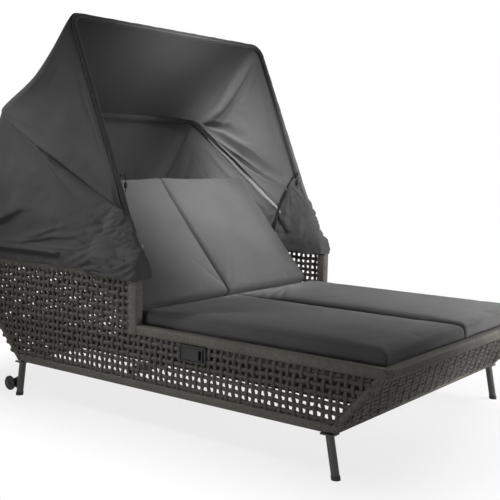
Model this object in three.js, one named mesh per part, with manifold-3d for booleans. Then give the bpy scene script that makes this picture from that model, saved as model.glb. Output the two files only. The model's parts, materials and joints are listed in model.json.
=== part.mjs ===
// Outdoor double daybed: a woven tub on four legs with two wheels, a slatted deck,
// two backs that recline on gas springs, and a two-bow canopy that folds to the head end.
// Millimetres. +Z is up, +Y points to the head end, and -X is the left side.
// The origin is on the floor, below the middle of the tub.
import * as THREE from 'three';
import { mergeVertices } from 'three/addons/utils/BufferGeometryUtils.js';
import Module from 'manifold-3d';

const wasm = await Module();
wasm.setup();

// Running clearance between pieces that touch
const clearance = 0.3;
// How far a cutting body passes the face that it cuts
const cutOverrun = 4;
// Sides of round pieces: tubes and rods, spring tubes, and pins
const roundSides = 20;
const springSides = 16;
const pinSides = 12;

// Tub: outside sizes
const halfWidth = 700;
const footRimY = -1120;
const headRimY = 1120;
const footRailY = -929;
const headRailY = 700;
const tubUnderside = 156;
const lowRimTop = 406;
const highRimTop = 615;

// Wrapped rails and rims
const rimWidth = 43;
const rimHeight = 39;
const railHeight = 36;
const rimEdge = 8;
const cornerRadius = 26;
const stepPostY = -19;
const stepPostWidth = 47;
const innerPostWidth = 27;

// Woven panels
const weaveThickness = 10;
const weaveInset = 3;
const weavePitch = 96;
const weaveGap = 66;
const weaveBorder = 14;
const cornerPostWidth = 22;

// Legs, feet and wheels
const legTubeRadius = 15;
const legWall = 1.8;
const legFootFloorIn = 5;
const legFootTopIn = 35;
const legHeadFloorIn = 2;
const legHeadTopIn = 25;
const legPlateThickness = 6;
const legPlateSide = 52;
const footCapHeight = 14;
const footCapLip = 1.5;
const wheelRadius = 32;
const wheelWidth = 18;
const wheelBore = 5.3;
const wheelEdge = 3;
const wheelHubRadius = 13;
const wheelDish = 3;
const wheelAxleOut = 63;
const wheelAxleZ = 42;
const axleRadius = 5;
const axleHeadRadius = 9;
const axleHeadThickness = 3.5;
const wheelPlateThickness = 5;
const wheelPlateTop = 96;
const wheelPlateBottom = 18;
const wheelSideGap = 1.2;

// Deck and what carries it
const deckRailSize = 25;
const deckApronDrop = 45;
const deckApronThickness = 4;
const deckRailDrop = 37;
const deckHingeGap = 28;
const deckThickness = 21;
const deckFrame = 30;
const deckSlatWidth = 52;
const deckSlatCount = 8;
const slatThickness = 6;
const restBarSetIn = 5;
const deckRailPastRail = 30;

// Backs: hinge line, slope and frame
const hingeY = 84;
const hingeRise = 10;
const backAngle = THREE.MathUtils.degToRad(49);
const hingeRodRadius = 5;
const hingeEarWidth = 12;
const hingeEarHalf = 14;
const hingeSeatShare = 0.75;
const backFrameThickness = 24;
const backFrameBar = 25;
const backFrameLength = 715;
const backFrameSideGap = 45;
const backFrameInner = 22;
const backSlatWidth = 44;
const backSlatCount = 7;
const knuckleReach = 14;
const knuckleHeight = 22;

// Gas springs
const springFootBack = 24;
const springFootDrop = 95;
const springEyeRadius = 9;
const springEyeWidth = 12;
const springPinRadius = 4;
const springTubeRadius = 11;
const springTubeStart = 15;
const springTubeLength = 205;
const springBoreDepth = 190;
const springRodRadius = 4;
const springRodTail = 95;
const springMountAlong = 260;
const springMountDrop = 33;
const springEarThickness = 4;
const springEarHalf = 13;
const springBarSize = 26;

// Release handles
const handleFootY = -372;
const handleHeadY = -243;
const handleHeight = 63;
const handleDepth = 30;
const handleProud = 4;
const handleWall = 7;
const handlePocket = 22;
const handleRadius = 6;
const paddleThickness = 7;
const paddleFingerGap = 9;
const paddleSlotWidth = 13;
const paddleBar = 6;
const paddleRim = 5;
const paddleGap = 1.5;
const paddleHingeInset = 5;
const paddleHingeRadius = 2;

// Canopy bows
const pivotPastPost = 9;
const pivotDrop = 18;
const bowTubeRadius = 11;
const bowSideGap = 12;
const bowCornerRadius = 58;
const frontBowLength = 1108;
const rearBowLength = 1084;
const frontBowAngle = THREE.MathUtils.degToRad(67.4);
const rearBowAngle = THREE.MathUtils.degToRad(36.8);
const rearBowJog = 23;
const rearJogStart = 110;
const rearJogEnd = 170;
const lugThickness = 8;
const lugRadius = 15;
const lugTubeStart = 24;
const pivotPinRadius = 5;
const pivotDiscRadius = 18;
const pivotDiscThickness = 3.6;
const pivotHeadRadius = 10;
const pivotHeadThickness = 4;
const bowSides = 10;
const bowCornerSteps = 5;

// Canopy cloth, as solids: the thickness stands for cloth with its hems and pockets
const clothThickness = 5;
const clothSideGap = 0.5;
const pocketRoom = 2.8;
const hollowShare = 1.3;
const clothRowShares = [0, 0.03, 0.2, 0.4, 0.6, 0.8, 0.97, 1];
const archLegShare = 0.5;
const archCornerShare = 0.7;
const archLegSteps = 6;
const archCornerSteps = 3;
const archTopSteps = 3;
const clothEdgeSag = 72;
const clothMiddleSag = 22;
const clothFold = 11;
const clothGatherAlong = 262;
const clothFootShare = 1 / 3;
const foldWaves = 1.5;
const skirtThickness = 4;
const skirtDrop = 31;
const skirtFold = 5;
const skirtPastPost = 11;
const skirtWaves = 12;
const skirtSideSteps = 9;
const skirtHeadSteps = 7;
const skirtTopShare = 0.4;
const skirtRows = 5;
const skirtCornerShare = 1e-6;

// Cushions
const cushionSideGap = 25;
const cushionMiddleGap = 1;
const cushionSideRound = 14;
const cushionDrawIn = 7;
const cushionCrown = 12;
const cushionRimGap = 9;
const cushionSteps = 8;
const cushionLayers = 2;
const drawInPower = 5;
const sideRoundPower = 9;
const cushionHingeGap = 34;
const seatCushionThickness = 108.4;
const backCushionStart = 76;
const backCushionPast = 25;
const backCushionThickness = 92.7;

// Worked out from the sizes above: tub
const innerX = halfWidth - rimWidth;
const railTop = tubUnderside + railHeight;
const lowRimUnderside = lowRimTop - rimHeight;
const highRimUnderside = highRimTop - rimHeight;
const weaveOuterX = halfWidth - weaveInset;
const weaveInnerX = weaveOuterX - weaveThickness;
const footSlope = (footRimY - footRailY) / (lowRimTop - tubUnderside);
const headSlope = (headRimY - headRailY) / (highRimTop - tubUnderside);
const handleTop = lowRimUnderside - clearance;
const handleBottom = lowRimUnderside - handleHeight;

// Worked out: legs and wheels
const legTopZ = tubUnderside - clearance - legPlateThickness;
const legFloorFootY = footRailY + legFootFloorIn;
const legTopFootY = footRailY + legFootTopIn;
const legFloorHeadY = headRailY - legHeadFloorIn;
const legTopHeadY = headRailY - legHeadTopIn;
const wheelAxleY = headRailY + wheelAxleOut;

// Worked out: deck, backs and gas springs
const deckRailTop = lowRimUnderside - deckRailDrop;
const deckTop = deckRailTop + clearance + deckThickness;
const deckHeadY = hingeY - deckHingeGap;
const deckRailHeadY = headRailY + deckRailPastRail;
const restBarY = deckRailHeadY - restBarSetIn - deckRailSize;
const hingeZ = deckRailTop + hingeRise;
const backFrameOuter = innerX - backFrameSideGap;
const springX = (backFrameInner + backFrameOuter) / 2;
const springFootY = hingeY - springFootBack;
const springFootZ = deckRailTop - springFootDrop;

// Worked out: canopy
const pivotY = stepPostY + pivotPastPost;
const pivotZ = highRimTop - pivotDrop;
const bowHalfWidth = innerX - bowSideGap;
const clothSideX = bowHalfWidth + bowTubeRadius + clothSideGap;
const skirtHemZ = highRimTop - skirtDrop;
const skirtFrontY = stepPostY - skirtPastPost;

// Worked out: cushions
const cushionHalfWidth = innerX - cushionSideGap;
const seatCushionFootY = footRimY + rimWidth + cushionRimGap;
const seatCushionHeadY = hingeY - cushionHingeGap;
const backCushionEnd = backFrameLength + backCushionPast;

const footSlopeY = (z) => footRailY + footSlope * (z - tubUnderside);
const headSlopeY = (z) => headRailY + headSlope * (z - tubUnderside);

// The inner face of the foot panel at a height, with the running clearance
const footPanelInnerY = (z) => footSlopeY(z) + clearance
  + (weaveInset + weaveThickness) * Math.hypot(1, footSlope);

// Finishes
const finish = {
  wrap: () => new THREE.MeshStandardMaterial({ color: 0x58544d, roughness: 0.75, metalness: 0 }),
  weave: () => new THREE.MeshStandardMaterial({ color: 0x5c5850, roughness: 0.75, metalness: 0 }),
  steel: () => new THREE.MeshStandardMaterial({ color: 0x3c3c38, roughness: 0.5, metalness: 0.6 }),
  aluminium: () => new THREE.MeshStandardMaterial({ color: 0x77756e, roughness: 0.45, metalness: 0.8 }),
  plastic: () => new THREE.MeshStandardMaterial({ color: 0x2a2e2a, roughness: 0.55, metalness: 0 }),
  rubber: () => new THREE.MeshStandardMaterial({ color: 0x30302e, roughness: 0.85, metalness: 0 }),
  canopy: () => new THREE.MeshStandardMaterial({ color: 0x444444, roughness: 0.95, metalness: 0 }),
  cushion: () => new THREE.MeshStandardMaterial({ color: 0x4c4c4c, roughness: 0.95, metalness: 0 }),
};

const daybed = new THREE.Group();

function addPart(name, geometry, material, parent = daybed) {
  const mesh = new THREE.Mesh(geometry, material);
  mesh.name = name;
  parent.add(mesh);
  return mesh;
}

const sideName = (side) => (side < 0 ? 'left' : 'right');

// Joining and cutting of closed solids
function toSolid(geometry) {
  const bare = geometry.clone();
  bare.deleteAttribute('normal');
  bare.deleteAttribute('uv');
  const merged = mergeVertices(bare);
  return new wasm.Manifold(new wasm.Mesh({
    numProp: 3,
    vertProperties: new Float32Array(merged.attributes.position.array),
    triVerts: new Uint32Array(merged.index.array),
  }));
}

function fromSolid(solid) {
  const mesh = solid.getMesh();
  const geometry = new THREE.BufferGeometry();
  geometry.setAttribute('position', new THREE.BufferAttribute(mesh.vertProperties, 3));
  geometry.setIndex(new THREE.BufferAttribute(mesh.triVerts, 1));
  geometry.computeVertexNormals();
  return geometry;
}

function join(...geometries) {
  return fromSolid(geometries.map(toSolid).reduce((sum, piece) => sum.add(piece)));
}

function cut(geometry, ...tools) {
  return fromSolid(tools.map(toSolid).reduce((rest, tool) => rest.subtract(tool), toSolid(geometry)));
}

// Basic forms
function boxBetween(x0, x1, y0, y1, z0, z1) {
  const box = new THREE.BoxGeometry(Math.abs(x1 - x0), Math.abs(y1 - y0), Math.abs(z1 - z0));
  box.translate((x0 + x1) / 2, (y0 + y1) / 2, (z0 + z1) / 2);
  return box;
}

function rodAlongX(radius, x0, x1, y, z) {
  const rod = new THREE.CylinderGeometry(radius, radius, Math.abs(x1 - x0), roundSides);
  rod.rotateZ(Math.PI / 2);
  rod.translate((x0 + x1) / 2, y, z);
  return rod;
}

// A rectangle whose four corners each have a radius of their own, from the low corner round
function roundedOutline(x0, y0, x1, y1, radii) {
  const [r00, r10, r11, r01] = radii;
  const shape = new THREE.Shape();
  shape.moveTo(x0 + r00, y0);
  shape.lineTo(x1 - r10, y0);
  if (r10 > 0) shape.absarc(x1 - r10, y0 + r10, r10, -Math.PI / 2, 0);
  shape.lineTo(x1, y1 - r11);
  if (r11 > 0) shape.absarc(x1 - r11, y1 - r11, r11, 0, Math.PI / 2);
  shape.lineTo(x0 + r01, y1);
  if (r01 > 0) shape.absarc(x0 + r01, y1 - r01, r01, Math.PI / 2, Math.PI);
  shape.lineTo(x0, y0 + r00);
  if (r00 > 0) shape.absarc(x0 + r00, y0 + r00, r00, Math.PI, Math.PI * 1.5);
  return shape;
}

// A bar of a plan outline and a height, with its long edges rounded over
function barFromPlan(shape, height, edge) {
  const bar = new THREE.ExtrudeGeometry(shape, {
    depth: height - 2 * edge,
    bevelThickness: edge,
    bevelSize: edge,
    bevelOffset: -edge,
    bevelSegments: 1,
    curveSegments: 4,
  });
  bar.translate(0, 0, edge);
  return bar;
}

// Rails and rims of the tub: side bars hold the rounded corners, end bars fit between them
function sideBar(side, name, yStart, yEnd, zLow, height, roundStart, roundEnd) {
  const corners = side < 0
    ? [roundStart, 0, 0, roundEnd]
    : [0, roundStart, roundEnd, 0];
  const x0 = side < 0 ? -halfWidth : innerX;
  const shape = roundedOutline(x0, yStart, x0 + rimWidth, yEnd, corners);
  const bar = addPart(name, barFromPlan(shape, height, rimEdge), finish.wrap());
  bar.position.z = zLow;
}

function endBar(name, yStart, zLow, height) {
  const reach = innerX - clearance;
  const shape = roundedOutline(-reach, yStart, reach, yStart + rimWidth, [0, 0, 0, 0]);
  const bar = addPart(name, barFromPlan(shape, height, rimEdge), finish.wrap());
  bar.position.z = zLow;
}

function buildRims() {
  for (const side of [-1, 1]) {
    const where = sideName(side);
    sideBar(side, `bottom_rail_${where}`, footRailY, headRailY, tubUnderside, railHeight,
      cornerRadius, cornerRadius);
    sideBar(side, `low_rim_${where}`, footRimY, stepPostY - clearance, lowRimUnderside, rimHeight,
      cornerRadius, 0);
    sideBar(side, `high_rim_${where}`, stepPostY, headRimY, highRimUnderside, rimHeight,
      cornerRadius / 2, cornerRadius);
  }
  endBar('bottom_rail_foot', footRailY, tubUnderside, railHeight);
  endBar('bottom_rail_head', headRailY - rimWidth, tubUnderside, railHeight);
  endBar('low_rim_foot', footRimY, lowRimUnderside, rimHeight);
  endBar('high_rim_head', headRimY - rimWidth, highRimUnderside, rimHeight);
}

// The step post is wrapped above the low rim, and a bare upright behind the weave below it
function buildStepPosts() {
  for (const side of [-1, 1]) {
    const shape = new THREE.Shape();
    const foot = railTop + clearance;
    const top = highRimUnderside - clearance;
    shape.moveTo(side * innerX, foot);
    shape.lineTo(side * (innerX + innerPostWidth), foot);
    shape.lineTo(side * (innerX + innerPostWidth), lowRimUnderside);
    shape.lineTo(side * halfWidth, lowRimUnderside);
    shape.lineTo(side * halfWidth, top);
    shape.lineTo(side * innerX, top);
    shape.closePath();
    const post = new THREE.ExtrudeGeometry(shape, { depth: stepPostWidth, bevelEnabled: false });
    const mesh = addPart(`step_post_${sideName(side)}`, post, finish.wrap());
    mesh.rotation.x = Math.PI / 2;
    mesh.position.y = stepPostY + stepPostWidth;
  }
}

// Corner uprights lean with the end walls, inside the weave
function cornerUpright(side, end) {
  const atFoot = end === 'foot';
  const slope = atFoot ? footSlope : headSlope;
  const slopeY = atFoot ? footSlopeY : headSlopeY;
  const inward = atFoot ? 1 : -1;
  const lean = Math.hypot(1, slope);
  const nearGap = (weaveInset + weaveThickness) * lean + clearance;
  const farGap = nearGap + cornerPostWidth * lean;
  const low = railTop + clearance;
  const high = (atFoot ? lowRimUnderside : highRimUnderside) - clearance;
  const shape = new THREE.Shape();
  shape.moveTo(slopeY(low) + inward * nearGap, low);
  shape.lineTo(slopeY(low) + inward * farGap, low);
  shape.lineTo(slopeY(high) + inward * farGap, high);
  shape.lineTo(slopeY(high) + inward * nearGap, high);
  shape.closePath();
  const post = new THREE.ExtrudeGeometry(shape, { depth: cornerPostWidth, bevelEnabled: false });
  const mesh = addPart(`corner_post_${end}_${sideName(side)}`, post, finish.steel());
  mesh.rotation.set(Math.PI / 2, Math.PI / 2, 0);
  const inner = weaveInnerX - clearance - cornerPostWidth;
  mesh.position.x = side < 0 ? -inner - cornerPostWidth : inner;
}

// Woven panels: flat nets whose gaps each stand for a block of the real weave
function insideOutline(points, x, y) {
  let inside = false;
  for (let i = 0, j = points.length - 1; i < points.length; j = i, i += 1) {
    const [a, b] = [points[i], points[j]];
    const crosses = (a.y > y) !== (b.y > y);
    if (crosses && x < ((b.x - a.x) * (y - a.y)) / (b.y - a.y) + a.x) inside = !inside;
  }
  return inside;
}

function cutGaps(shape, keepOut) {
  const points = shape.getPoints();
  const gaps = [];
  const lowX = Math.min(...points.map((p) => p.x));
  const highX = Math.max(...points.map((p) => p.x));
  const lowY = Math.min(...points.map((p) => p.y));
  const highY = Math.max(...points.map((p) => p.y));
  const columns = Math.floor((highX - lowX) / weavePitch);
  const rows = Math.floor((highY - lowY) / weavePitch);
  const startX = (lowX + highX - columns * weavePitch) / 2;
  const strand = weavePitch - weaveGap;
  for (let column = 0; column < columns; column += 1) {
    for (let row = 0; row < rows; row += 1) {
      const x0 = startX + column * weavePitch + strand / 2;
      const y0 = lowY + weaveBorder + row * weavePitch;
      const [x1, y1] = [x0 + weaveGap, y0 + weaveGap];
      const clear = [x0 - weaveBorder, x1 + weaveBorder].every((x) =>
        [y0 - weaveBorder / 2, y1 + weaveBorder / 2].every((y) => insideOutline(points, x, y)));
      const blocked = keepOut && x1 > keepOut.x0 && x0 < keepOut.x1
        && y1 > keepOut.y0 && y0 < keepOut.y1;
      if (clear && !blocked) {
        gaps.push(boxBetween(x0, x1, y0, y1, -cutOverrun, weaveThickness + cutOverrun));
      }
    }
  }
  const plate = new THREE.ExtrudeGeometry(shape, { depth: weaveThickness, bevelEnabled: false });
  return cut(plate, ...gaps);
}

function sidePanelOutline() {
  const low = railTop + clearance;
  const lowTop = lowRimUnderside - clearance;
  const highTop = highRimUnderside - clearance;
  const postHead = stepPostY + stepPostWidth + clearance;
  const handleLow = handleBottom - clearance;
  const outline = new THREE.Shape();
  outline.moveTo(footSlopeY(low), low);
  outline.lineTo(headSlopeY(low), low);
  outline.lineTo(headSlopeY(highTop), highTop);
  outline.lineTo(postHead, highTop);
  outline.lineTo(postHead, lowTop);
  outline.lineTo(handleHeadY + clearance, lowTop);
  outline.lineTo(handleHeadY + clearance, handleLow);
  outline.lineTo(handleFootY - clearance, handleLow);
  outline.lineTo(handleFootY - clearance, lowTop);
  outline.lineTo(footSlopeY(lowTop), lowTop);
  outline.closePath();
  return outline;
}

function buildSideWeave(side) {
  const panel = cutGaps(sidePanelOutline(), {
    x0: handleFootY - weaveBorder,
    x1: handleHeadY + weaveBorder,
    y0: handleBottom - weaveBorder,
    y1: lowRimTop,
  });
  const mesh = addPart(`weave_${sideName(side)}`, panel, finish.weave());
  mesh.rotation.set(Math.PI / 2, Math.PI / 2, 0);
  mesh.position.x = side < 0 ? -weaveOuterX : weaveInnerX;
}

function buildEndWeave(end) {
  const atFoot = end === 'foot';
  const slopeY = atFoot ? footSlopeY : headSlopeY;
  const lean = Math.atan(atFoot ? -footSlope : headSlope);
  const low = railTop + clearance;
  const high = (atFoot ? lowRimUnderside : highRimUnderside) - clearance;
  const tip = weaveThickness * Math.sin(lean);
  const length = (high - low - tip) / Math.cos(lean);
  const reach = weaveInnerX - clearance;
  const outline = roundedOutline(-reach, 0, reach, length, [0, 0, 0, 0]);
  const panel = cutGaps(outline, null);
  const leaning = new THREE.Group();
  const insetY = weaveInset / Math.cos(lean);
  leaning.rotation.x = Math.PI / 2 + (atFoot ? lean : -lean);
  leaning.position.set(0, slopeY(low) + (atFoot ? insetY : -insetY), low);
  if (atFoot) panel.translate(0, 0, -weaveThickness);
  addPart(`weave_${end}`, panel, finish.weave(), leaning);
  daybed.add(leaning);
}

// Deck: a frame with flat slats across its top, on two side rails with thin aprons, and a
// bar that the lowered backs rest on
function slattedFrame(x0, y0, x1, y1, frame, slatCount, slatWidth, middle, depth) {
  const plate = boxBetween(x0, x1, y0, y1, 0, depth);
  const gaps = [];
  const under = [-cutOverrun, depth - slatThickness];
  const gap = (y1 - y0 - 2 * frame - slatCount * slatWidth) / (slatCount + 1);
  const fields = middle > 0
    ? [[x0 + frame, (x0 + x1 - middle) / 2], [(x0 + x1 + middle) / 2, x1 - frame]]
    : [[x0 + frame, x1 - frame]];
  for (let row = 0; row <= slatCount; row += 1) {
    const low = y0 + frame + row * (gap + slatWidth);
    for (const [left, right] of fields) {
      gaps.push(boxBetween(left, right, low, low + gap, -cutOverrun, depth + cutOverrun));
    }
  }
  for (const [left, right] of fields) {
    gaps.push(boxBetween(left, right, y0 + frame, y1 - frame, ...under));
  }
  return cut(plate, ...gaps);
}

function buildDeck() {
  const reach = innerX - clearance;
  const deckFootY = footPanelInnerY(deckRailTop);
  const deck = slattedFrame(-reach, deckFootY, reach, deckHeadY, deckFrame, deckSlatCount,
    deckSlatWidth, deckFrame, deckThickness);
  addPart('seat_deck', deck, finish.aluminium()).position.z = deckRailTop + clearance;
  const railBottom = deckRailTop - deckRailSize;
  const apronBottom = railBottom - deckApronDrop;
  const rodReach = reach - deckRailSize + hingeEarWidth * hingeSeatShare;
  for (const side of [-1, 1]) {
    const rail = boxBetween(side * reach, side * (reach - deckRailSize),
      footPanelInnerY(railBottom), deckRailHeadY, railBottom, deckRailTop);
    const apron = boxBetween(side * reach, side * (reach - deckApronThickness),
      footPanelInnerY(apronBottom), deckRailHeadY, apronBottom, railBottom + deckApronThickness);
    const earInner = reach - deckRailSize;
    const ear = boxBetween(side * earInner, side * (earInner + hingeEarWidth),
      hingeY - hingeEarHalf, hingeY + hingeEarHalf, railBottom + cutOverrun, hingeZ + hingeEarHalf);
    const rodSeat = rodAlongX(hingeRodRadius + clearance, side * (earInner - cutOverrun),
      side * (rodReach + clearance), hingeY, hingeZ);
    addPart(`deck_rail_${sideName(side)}`, cut(join(rail, apron, ear), rodSeat), finish.steel());
  }
  const barReach = reach - deckRailSize - clearance;
  const restTop = hingeZ - backFrameThickness / 2 - clearance * 2;
  const bar = boxBetween(-barReach, barReach, restBarY, restBarY + deckRailSize,
    restTop - deckRailSize, restTop);
  addPart('back_rest_bar', bar, finish.steel());
  const rod = rodAlongX(hingeRodRadius, -rodReach, rodReach, hingeY, hingeZ);
  addPart('hinge_rod', rod, finish.steel());
}

// Backs: a slatted frame with two knuckles on the hinge rod, and ears for the gas spring
function backFrameGeometry(side) {
  const x0 = side < 0 ? -backFrameOuter : backFrameInner;
  const x1 = side < 0 ? -backFrameInner : backFrameOuter;
  const start = knuckleHeight;
  const half = backFrameThickness / 2;
  const field = slattedFrame(x0, start, x1, backFrameLength, backFrameBar, backSlatCount,
    backSlatWidth, 0, backFrameThickness);
  field.translate(0, 0, -half);
  const knuckles = [x0, x1 - backFrameBar].map((x) =>
    boxBetween(x, x + backFrameBar, -knuckleReach, start + backFrameBar / 2, -half, half));
  const earX = side * springX;
  const ears = [-1, 1].map((hand) => {
    const inner = earX + hand * (springEyeWidth / 2 + clearance * 2);
    return boxBetween(inner, inner + hand * springEarThickness,
      springMountAlong - springEarHalf, springMountAlong + springEarHalf,
      -springMountDrop - springEarHalf, 0);
  });
  const plate = boxBetween(earX - springEyeWidth, earX + springEyeWidth,
    springMountAlong - backSlatWidth, springMountAlong + backSlatWidth,
    -half, half - slatThickness / 2);
  const rodHole = rodAlongX(hingeRodRadius + clearance, x0 - cutOverrun, x1 + cutOverrun, 0, 0);
  return cut(join(field, ...knuckles, ...ears, plate), rodHole);
}

function buildBacks() {
  for (const side of [-1, 1]) {
    const back = new THREE.Group();
    back.position.set(0, hingeY, hingeZ);
    back.rotation.x = backAngle;
    daybed.add(back);
    addPart(`backrest_frame_${sideName(side)}`, backFrameGeometry(side), finish.aluminium(), back);
    const bottom = backFrameThickness / 2 + clearance;
    const cushion = cushionGeometry(cushionHalfWidth - cushionMiddleGap,
      backCushionEnd - backCushionStart, backCushionThickness);
    const mesh = addPart(`back_cushion_${sideName(side)}`, cushion, finish.cushion(), back);
    mesh.position.set(side * (cushionHalfWidth + cushionMiddleGap) / 2,
      (backCushionStart + backCushionEnd) / 2, bottom + backCushionThickness / 2);
  }
}

// Gas springs stand between a low bar and the ears under the backs
function springLine() {
  const mount = new THREE.Vector2(
    hingeY + springMountAlong * Math.cos(backAngle) + springMountDrop * Math.sin(backAngle),
    hingeZ + springMountAlong * Math.sin(backAngle) - springMountDrop * Math.cos(backAngle),
  );
  const foot = new THREE.Vector2(springFootY, springFootZ);
  const line = mount.sub(foot);
  return { length: line.length(), angle: line.angle() };
}

function springTube() {
  const profile = [
    new THREE.Vector2(0, springTubeStart),
    new THREE.Vector2(springTubeRadius, springTubeStart),
    new THREE.Vector2(springTubeRadius, springTubeLength),
    new THREE.Vector2(springRodRadius + clearance, springTubeLength),
    new THREE.Vector2(springRodRadius + clearance, springTubeLength - springBoreDepth + springTubeStart),
    new THREE.Vector2(0, springTubeLength - springBoreDepth + springTubeStart),
  ];
  return new THREE.LatheGeometry(profile, springSides);
}

function buildGasSprings() {
  const { length, angle } = springLine();
  for (const side of [-1, 1]) {
    const spring = new THREE.Group();
    spring.position.set(side * springX, springFootY, springFootZ);
    spring.rotation.x = angle;
    daybed.add(spring);
    const half = springEyeWidth / 2;
    const eye = rodAlongX(springEyeRadius, -half, half, 0, 0);
    const neck = boxBetween(-half, half, 0, springTubeStart + cutOverrun,
      -springRodRadius, springRodRadius);
    const bore = rodAlongX(springPinRadius + clearance, -half - cutOverrun, half + cutOverrun, 0, 0);
    const tube = cut(join(springTube(), eye, neck), bore);
    addPart(`gas_cylinder_${sideName(side)}`, tube, finish.steel(), spring);
    const tail = new THREE.CylinderGeometry(springRodRadius, springRodRadius,
      length - springRodTail, pinSides);
    tail.translate(0, (length + springRodTail) / 2, 0);
    const tip = rodAlongX(springEyeRadius, -half, half, length, 0);
    const tipBore = rodAlongX(springPinRadius, -half - cutOverrun, half + cutOverrun, length, 0);
    addPart(`gas_rod_${sideName(side)}`, cut(join(tail, tip), tipBore), finish.aluminium(), spring);
  }
  buildSpringBar();
}

// The low bar runs between the side rails' uprights and holds the springs' foot pins
function buildSpringBar() {
  const top = springFootZ - springEyeRadius - springEarThickness;
  const reach = innerX - clearance;
  const halfEye = springEyeWidth / 2 + clearance * 2;
  const pieces = [boxBetween(-reach, reach, springFootY - springBarSize, springFootY,
    top - springBarSize, top)];
  for (const side of [-1, 1]) {
    for (const hand of [-1, 1]) {
      const inner = side * springX + hand * halfEye;
      pieces.push(boxBetween(inner, inner + hand * springEarThickness,
        springFootY - springEarHalf, springFootY + springEyeRadius,
        top - springEarHalf, springFootZ + springEyeRadius));
    }
    pieces.push(rodAlongX(springPinRadius, side * springX - halfEye - springEarThickness / 2,
      side * springX + halfEye + springEarThickness / 2, springFootY, springFootZ));
  }
  addPart('spring_bar', join(...pieces), finish.steel());
}

// Release handles: a flush tray under the low rim with a hinged paddle in it
function buildHandle(side) {
  const face = halfWidth + handleProud;
  const back = face - handleDepth;
  const lengthwise = handleHeadY - handleFootY;
  const height = handleTop - handleBottom;
  const tray = new THREE.Group();
  tray.position.set(side * face, (handleFootY + handleHeadY) / 2, (handleBottom + handleTop) / 2);
  daybed.add(tray);
  const body = new THREE.ExtrudeGeometry(
    roundedOutline(-lengthwise / 2, -height / 2, lengthwise / 2, height / 2,
      [handleRadius, handleRadius, handleRadius, handleRadius]),
    { depth: face - back, bevelEnabled: false, curveSegments: 3 },
  );
  body.applyMatrix4(new THREE.Matrix4().makeBasis(
    new THREE.Vector3(0, 1, 0), new THREE.Vector3(0, 0, 1), new THREE.Vector3(1, 0, 0)));
  body.translate(side < 0 ? 0 : -(face - back), 0, 0);
  const halfPocket = lengthwise / 2 - handleWall;
  const halfTall = height / 2 - handleWall;
  const pocket = boxBetween(side * cutOverrun, -side * handlePocket,
    -halfPocket, halfPocket, -halfTall, halfTall);
  const pinY = halfPocket - paddleHingeInset;
  const pin = new THREE.CylinderGeometry(paddleHingeRadius, paddleHingeRadius,
    2 * (halfTall + clearance), pinSides);
  pin.rotateX(Math.PI / 2);
  pin.translate(-side * (paddleThickness / 2 + handleProud / 2), pinY, 0);
  addPart(`handle_tray_${sideName(side)}`, join(cut(body, pocket), pin), finish.plastic(), tray);
  addPaddle(side, tray, halfPocket, halfTall, pinY);
}

function addPaddle(side, tray, halfPocket, halfTall, pinY) {
  const hinge = new THREE.Group();
  hinge.position.set(-side * (paddleThickness / 2 + handleProud / 2), pinY, 0);
  tray.add(hinge);
  const half = paddleThickness / 2;
  const tall = halfTall - paddleGap;
  const footEnd = -halfPocket + paddleFingerGap - pinY;
  const plate = boxBetween(-half, half, footEnd, paddleHingeInset - paddleGap, -tall, tall);
  const slot = boxBetween(-half - cutOverrun, half + cutOverrun, footEnd + paddleBar,
    footEnd + paddleBar + paddleSlotWidth, -tall + paddleRim, tall - paddleRim);
  const barrel = new THREE.CylinderGeometry(paddleHingeRadius + clearance,
    paddleHingeRadius + clearance, 2 * (halfTall + cutOverrun), pinSides);
  barrel.rotateX(Math.PI / 2);
  const paddle = cut(plate, slot, barrel);
  addPart(`release_paddle_${sideName(side)}`, paddle, finish.plastic(), hinge);
}

// Legs: leaning tubes with a plate under the rail and a cap on the floor
function legCentreY(end, z) {
  const floorY = end === 'foot' ? legFloorFootY : legFloorHeadY;
  const topY = end === 'foot' ? legTopFootY : legTopHeadY;
  return floorY + ((topY - floorY) * z) / legTopZ;
}

function leaningCylinder(radius, zLow, zHigh, end) {
  const cylinder = new THREE.CylinderGeometry(radius, radius, zHigh - zLow, roundSides);
  cylinder.rotateX(Math.PI / 2);
  const lean = (legCentreY(end, zHigh) - legCentreY(end, zLow)) / (zHigh - zLow);
  cylinder.applyMatrix4(new THREE.Matrix4().makeShear(0, 0, 0, 0, 0, lean));
  cylinder.translate(0, legCentreY(end, (zLow + zHigh) / 2), (zLow + zHigh) / 2);
  return cylinder;
}

function legGeometry(end) {
  const outer = leaningCylinder(legTubeRadius, footCapHeight + clearance, legTopZ + clearance, end);
  const bore = leaningCylinder(legTubeRadius - legWall, footCapHeight - cutOverrun,
    legTopZ - legWall, end);
  const topY = legCentreY(end, legTopZ);
  const low = topY - legPlateSide / 2;
  const plate = boxBetween(-rimWidth / 2, rimWidth / 2, low, low + legPlateSide,
    legTopZ, legTopZ + legPlateThickness);
  return cut(join(outer, plate), bore);
}

function footCapGeometry(end) {
  const outer = leaningCylinder(legTubeRadius + footCapLip, 0, footCapHeight, end);
  const plug = leaningCylinder(legTubeRadius - legWall - clearance, footCapHeight / 2,
    footCapHeight * 2, end);
  return join(outer, plug);
}

function buildLegs() {
  const legX = (halfWidth + innerX) / 2;
  for (const side of [-1, 1]) {
    for (const end of ['foot', 'head']) {
      const where = `${end}_${sideName(side)}`;
      addPart(`leg_${where}`, legGeometry(end), finish.steel()).position.x = side * legX;
      addPart(`foot_cap_${where}`, footCapGeometry(end), finish.rubber()).position.x = side * legX;
    }
  }
}

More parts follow.
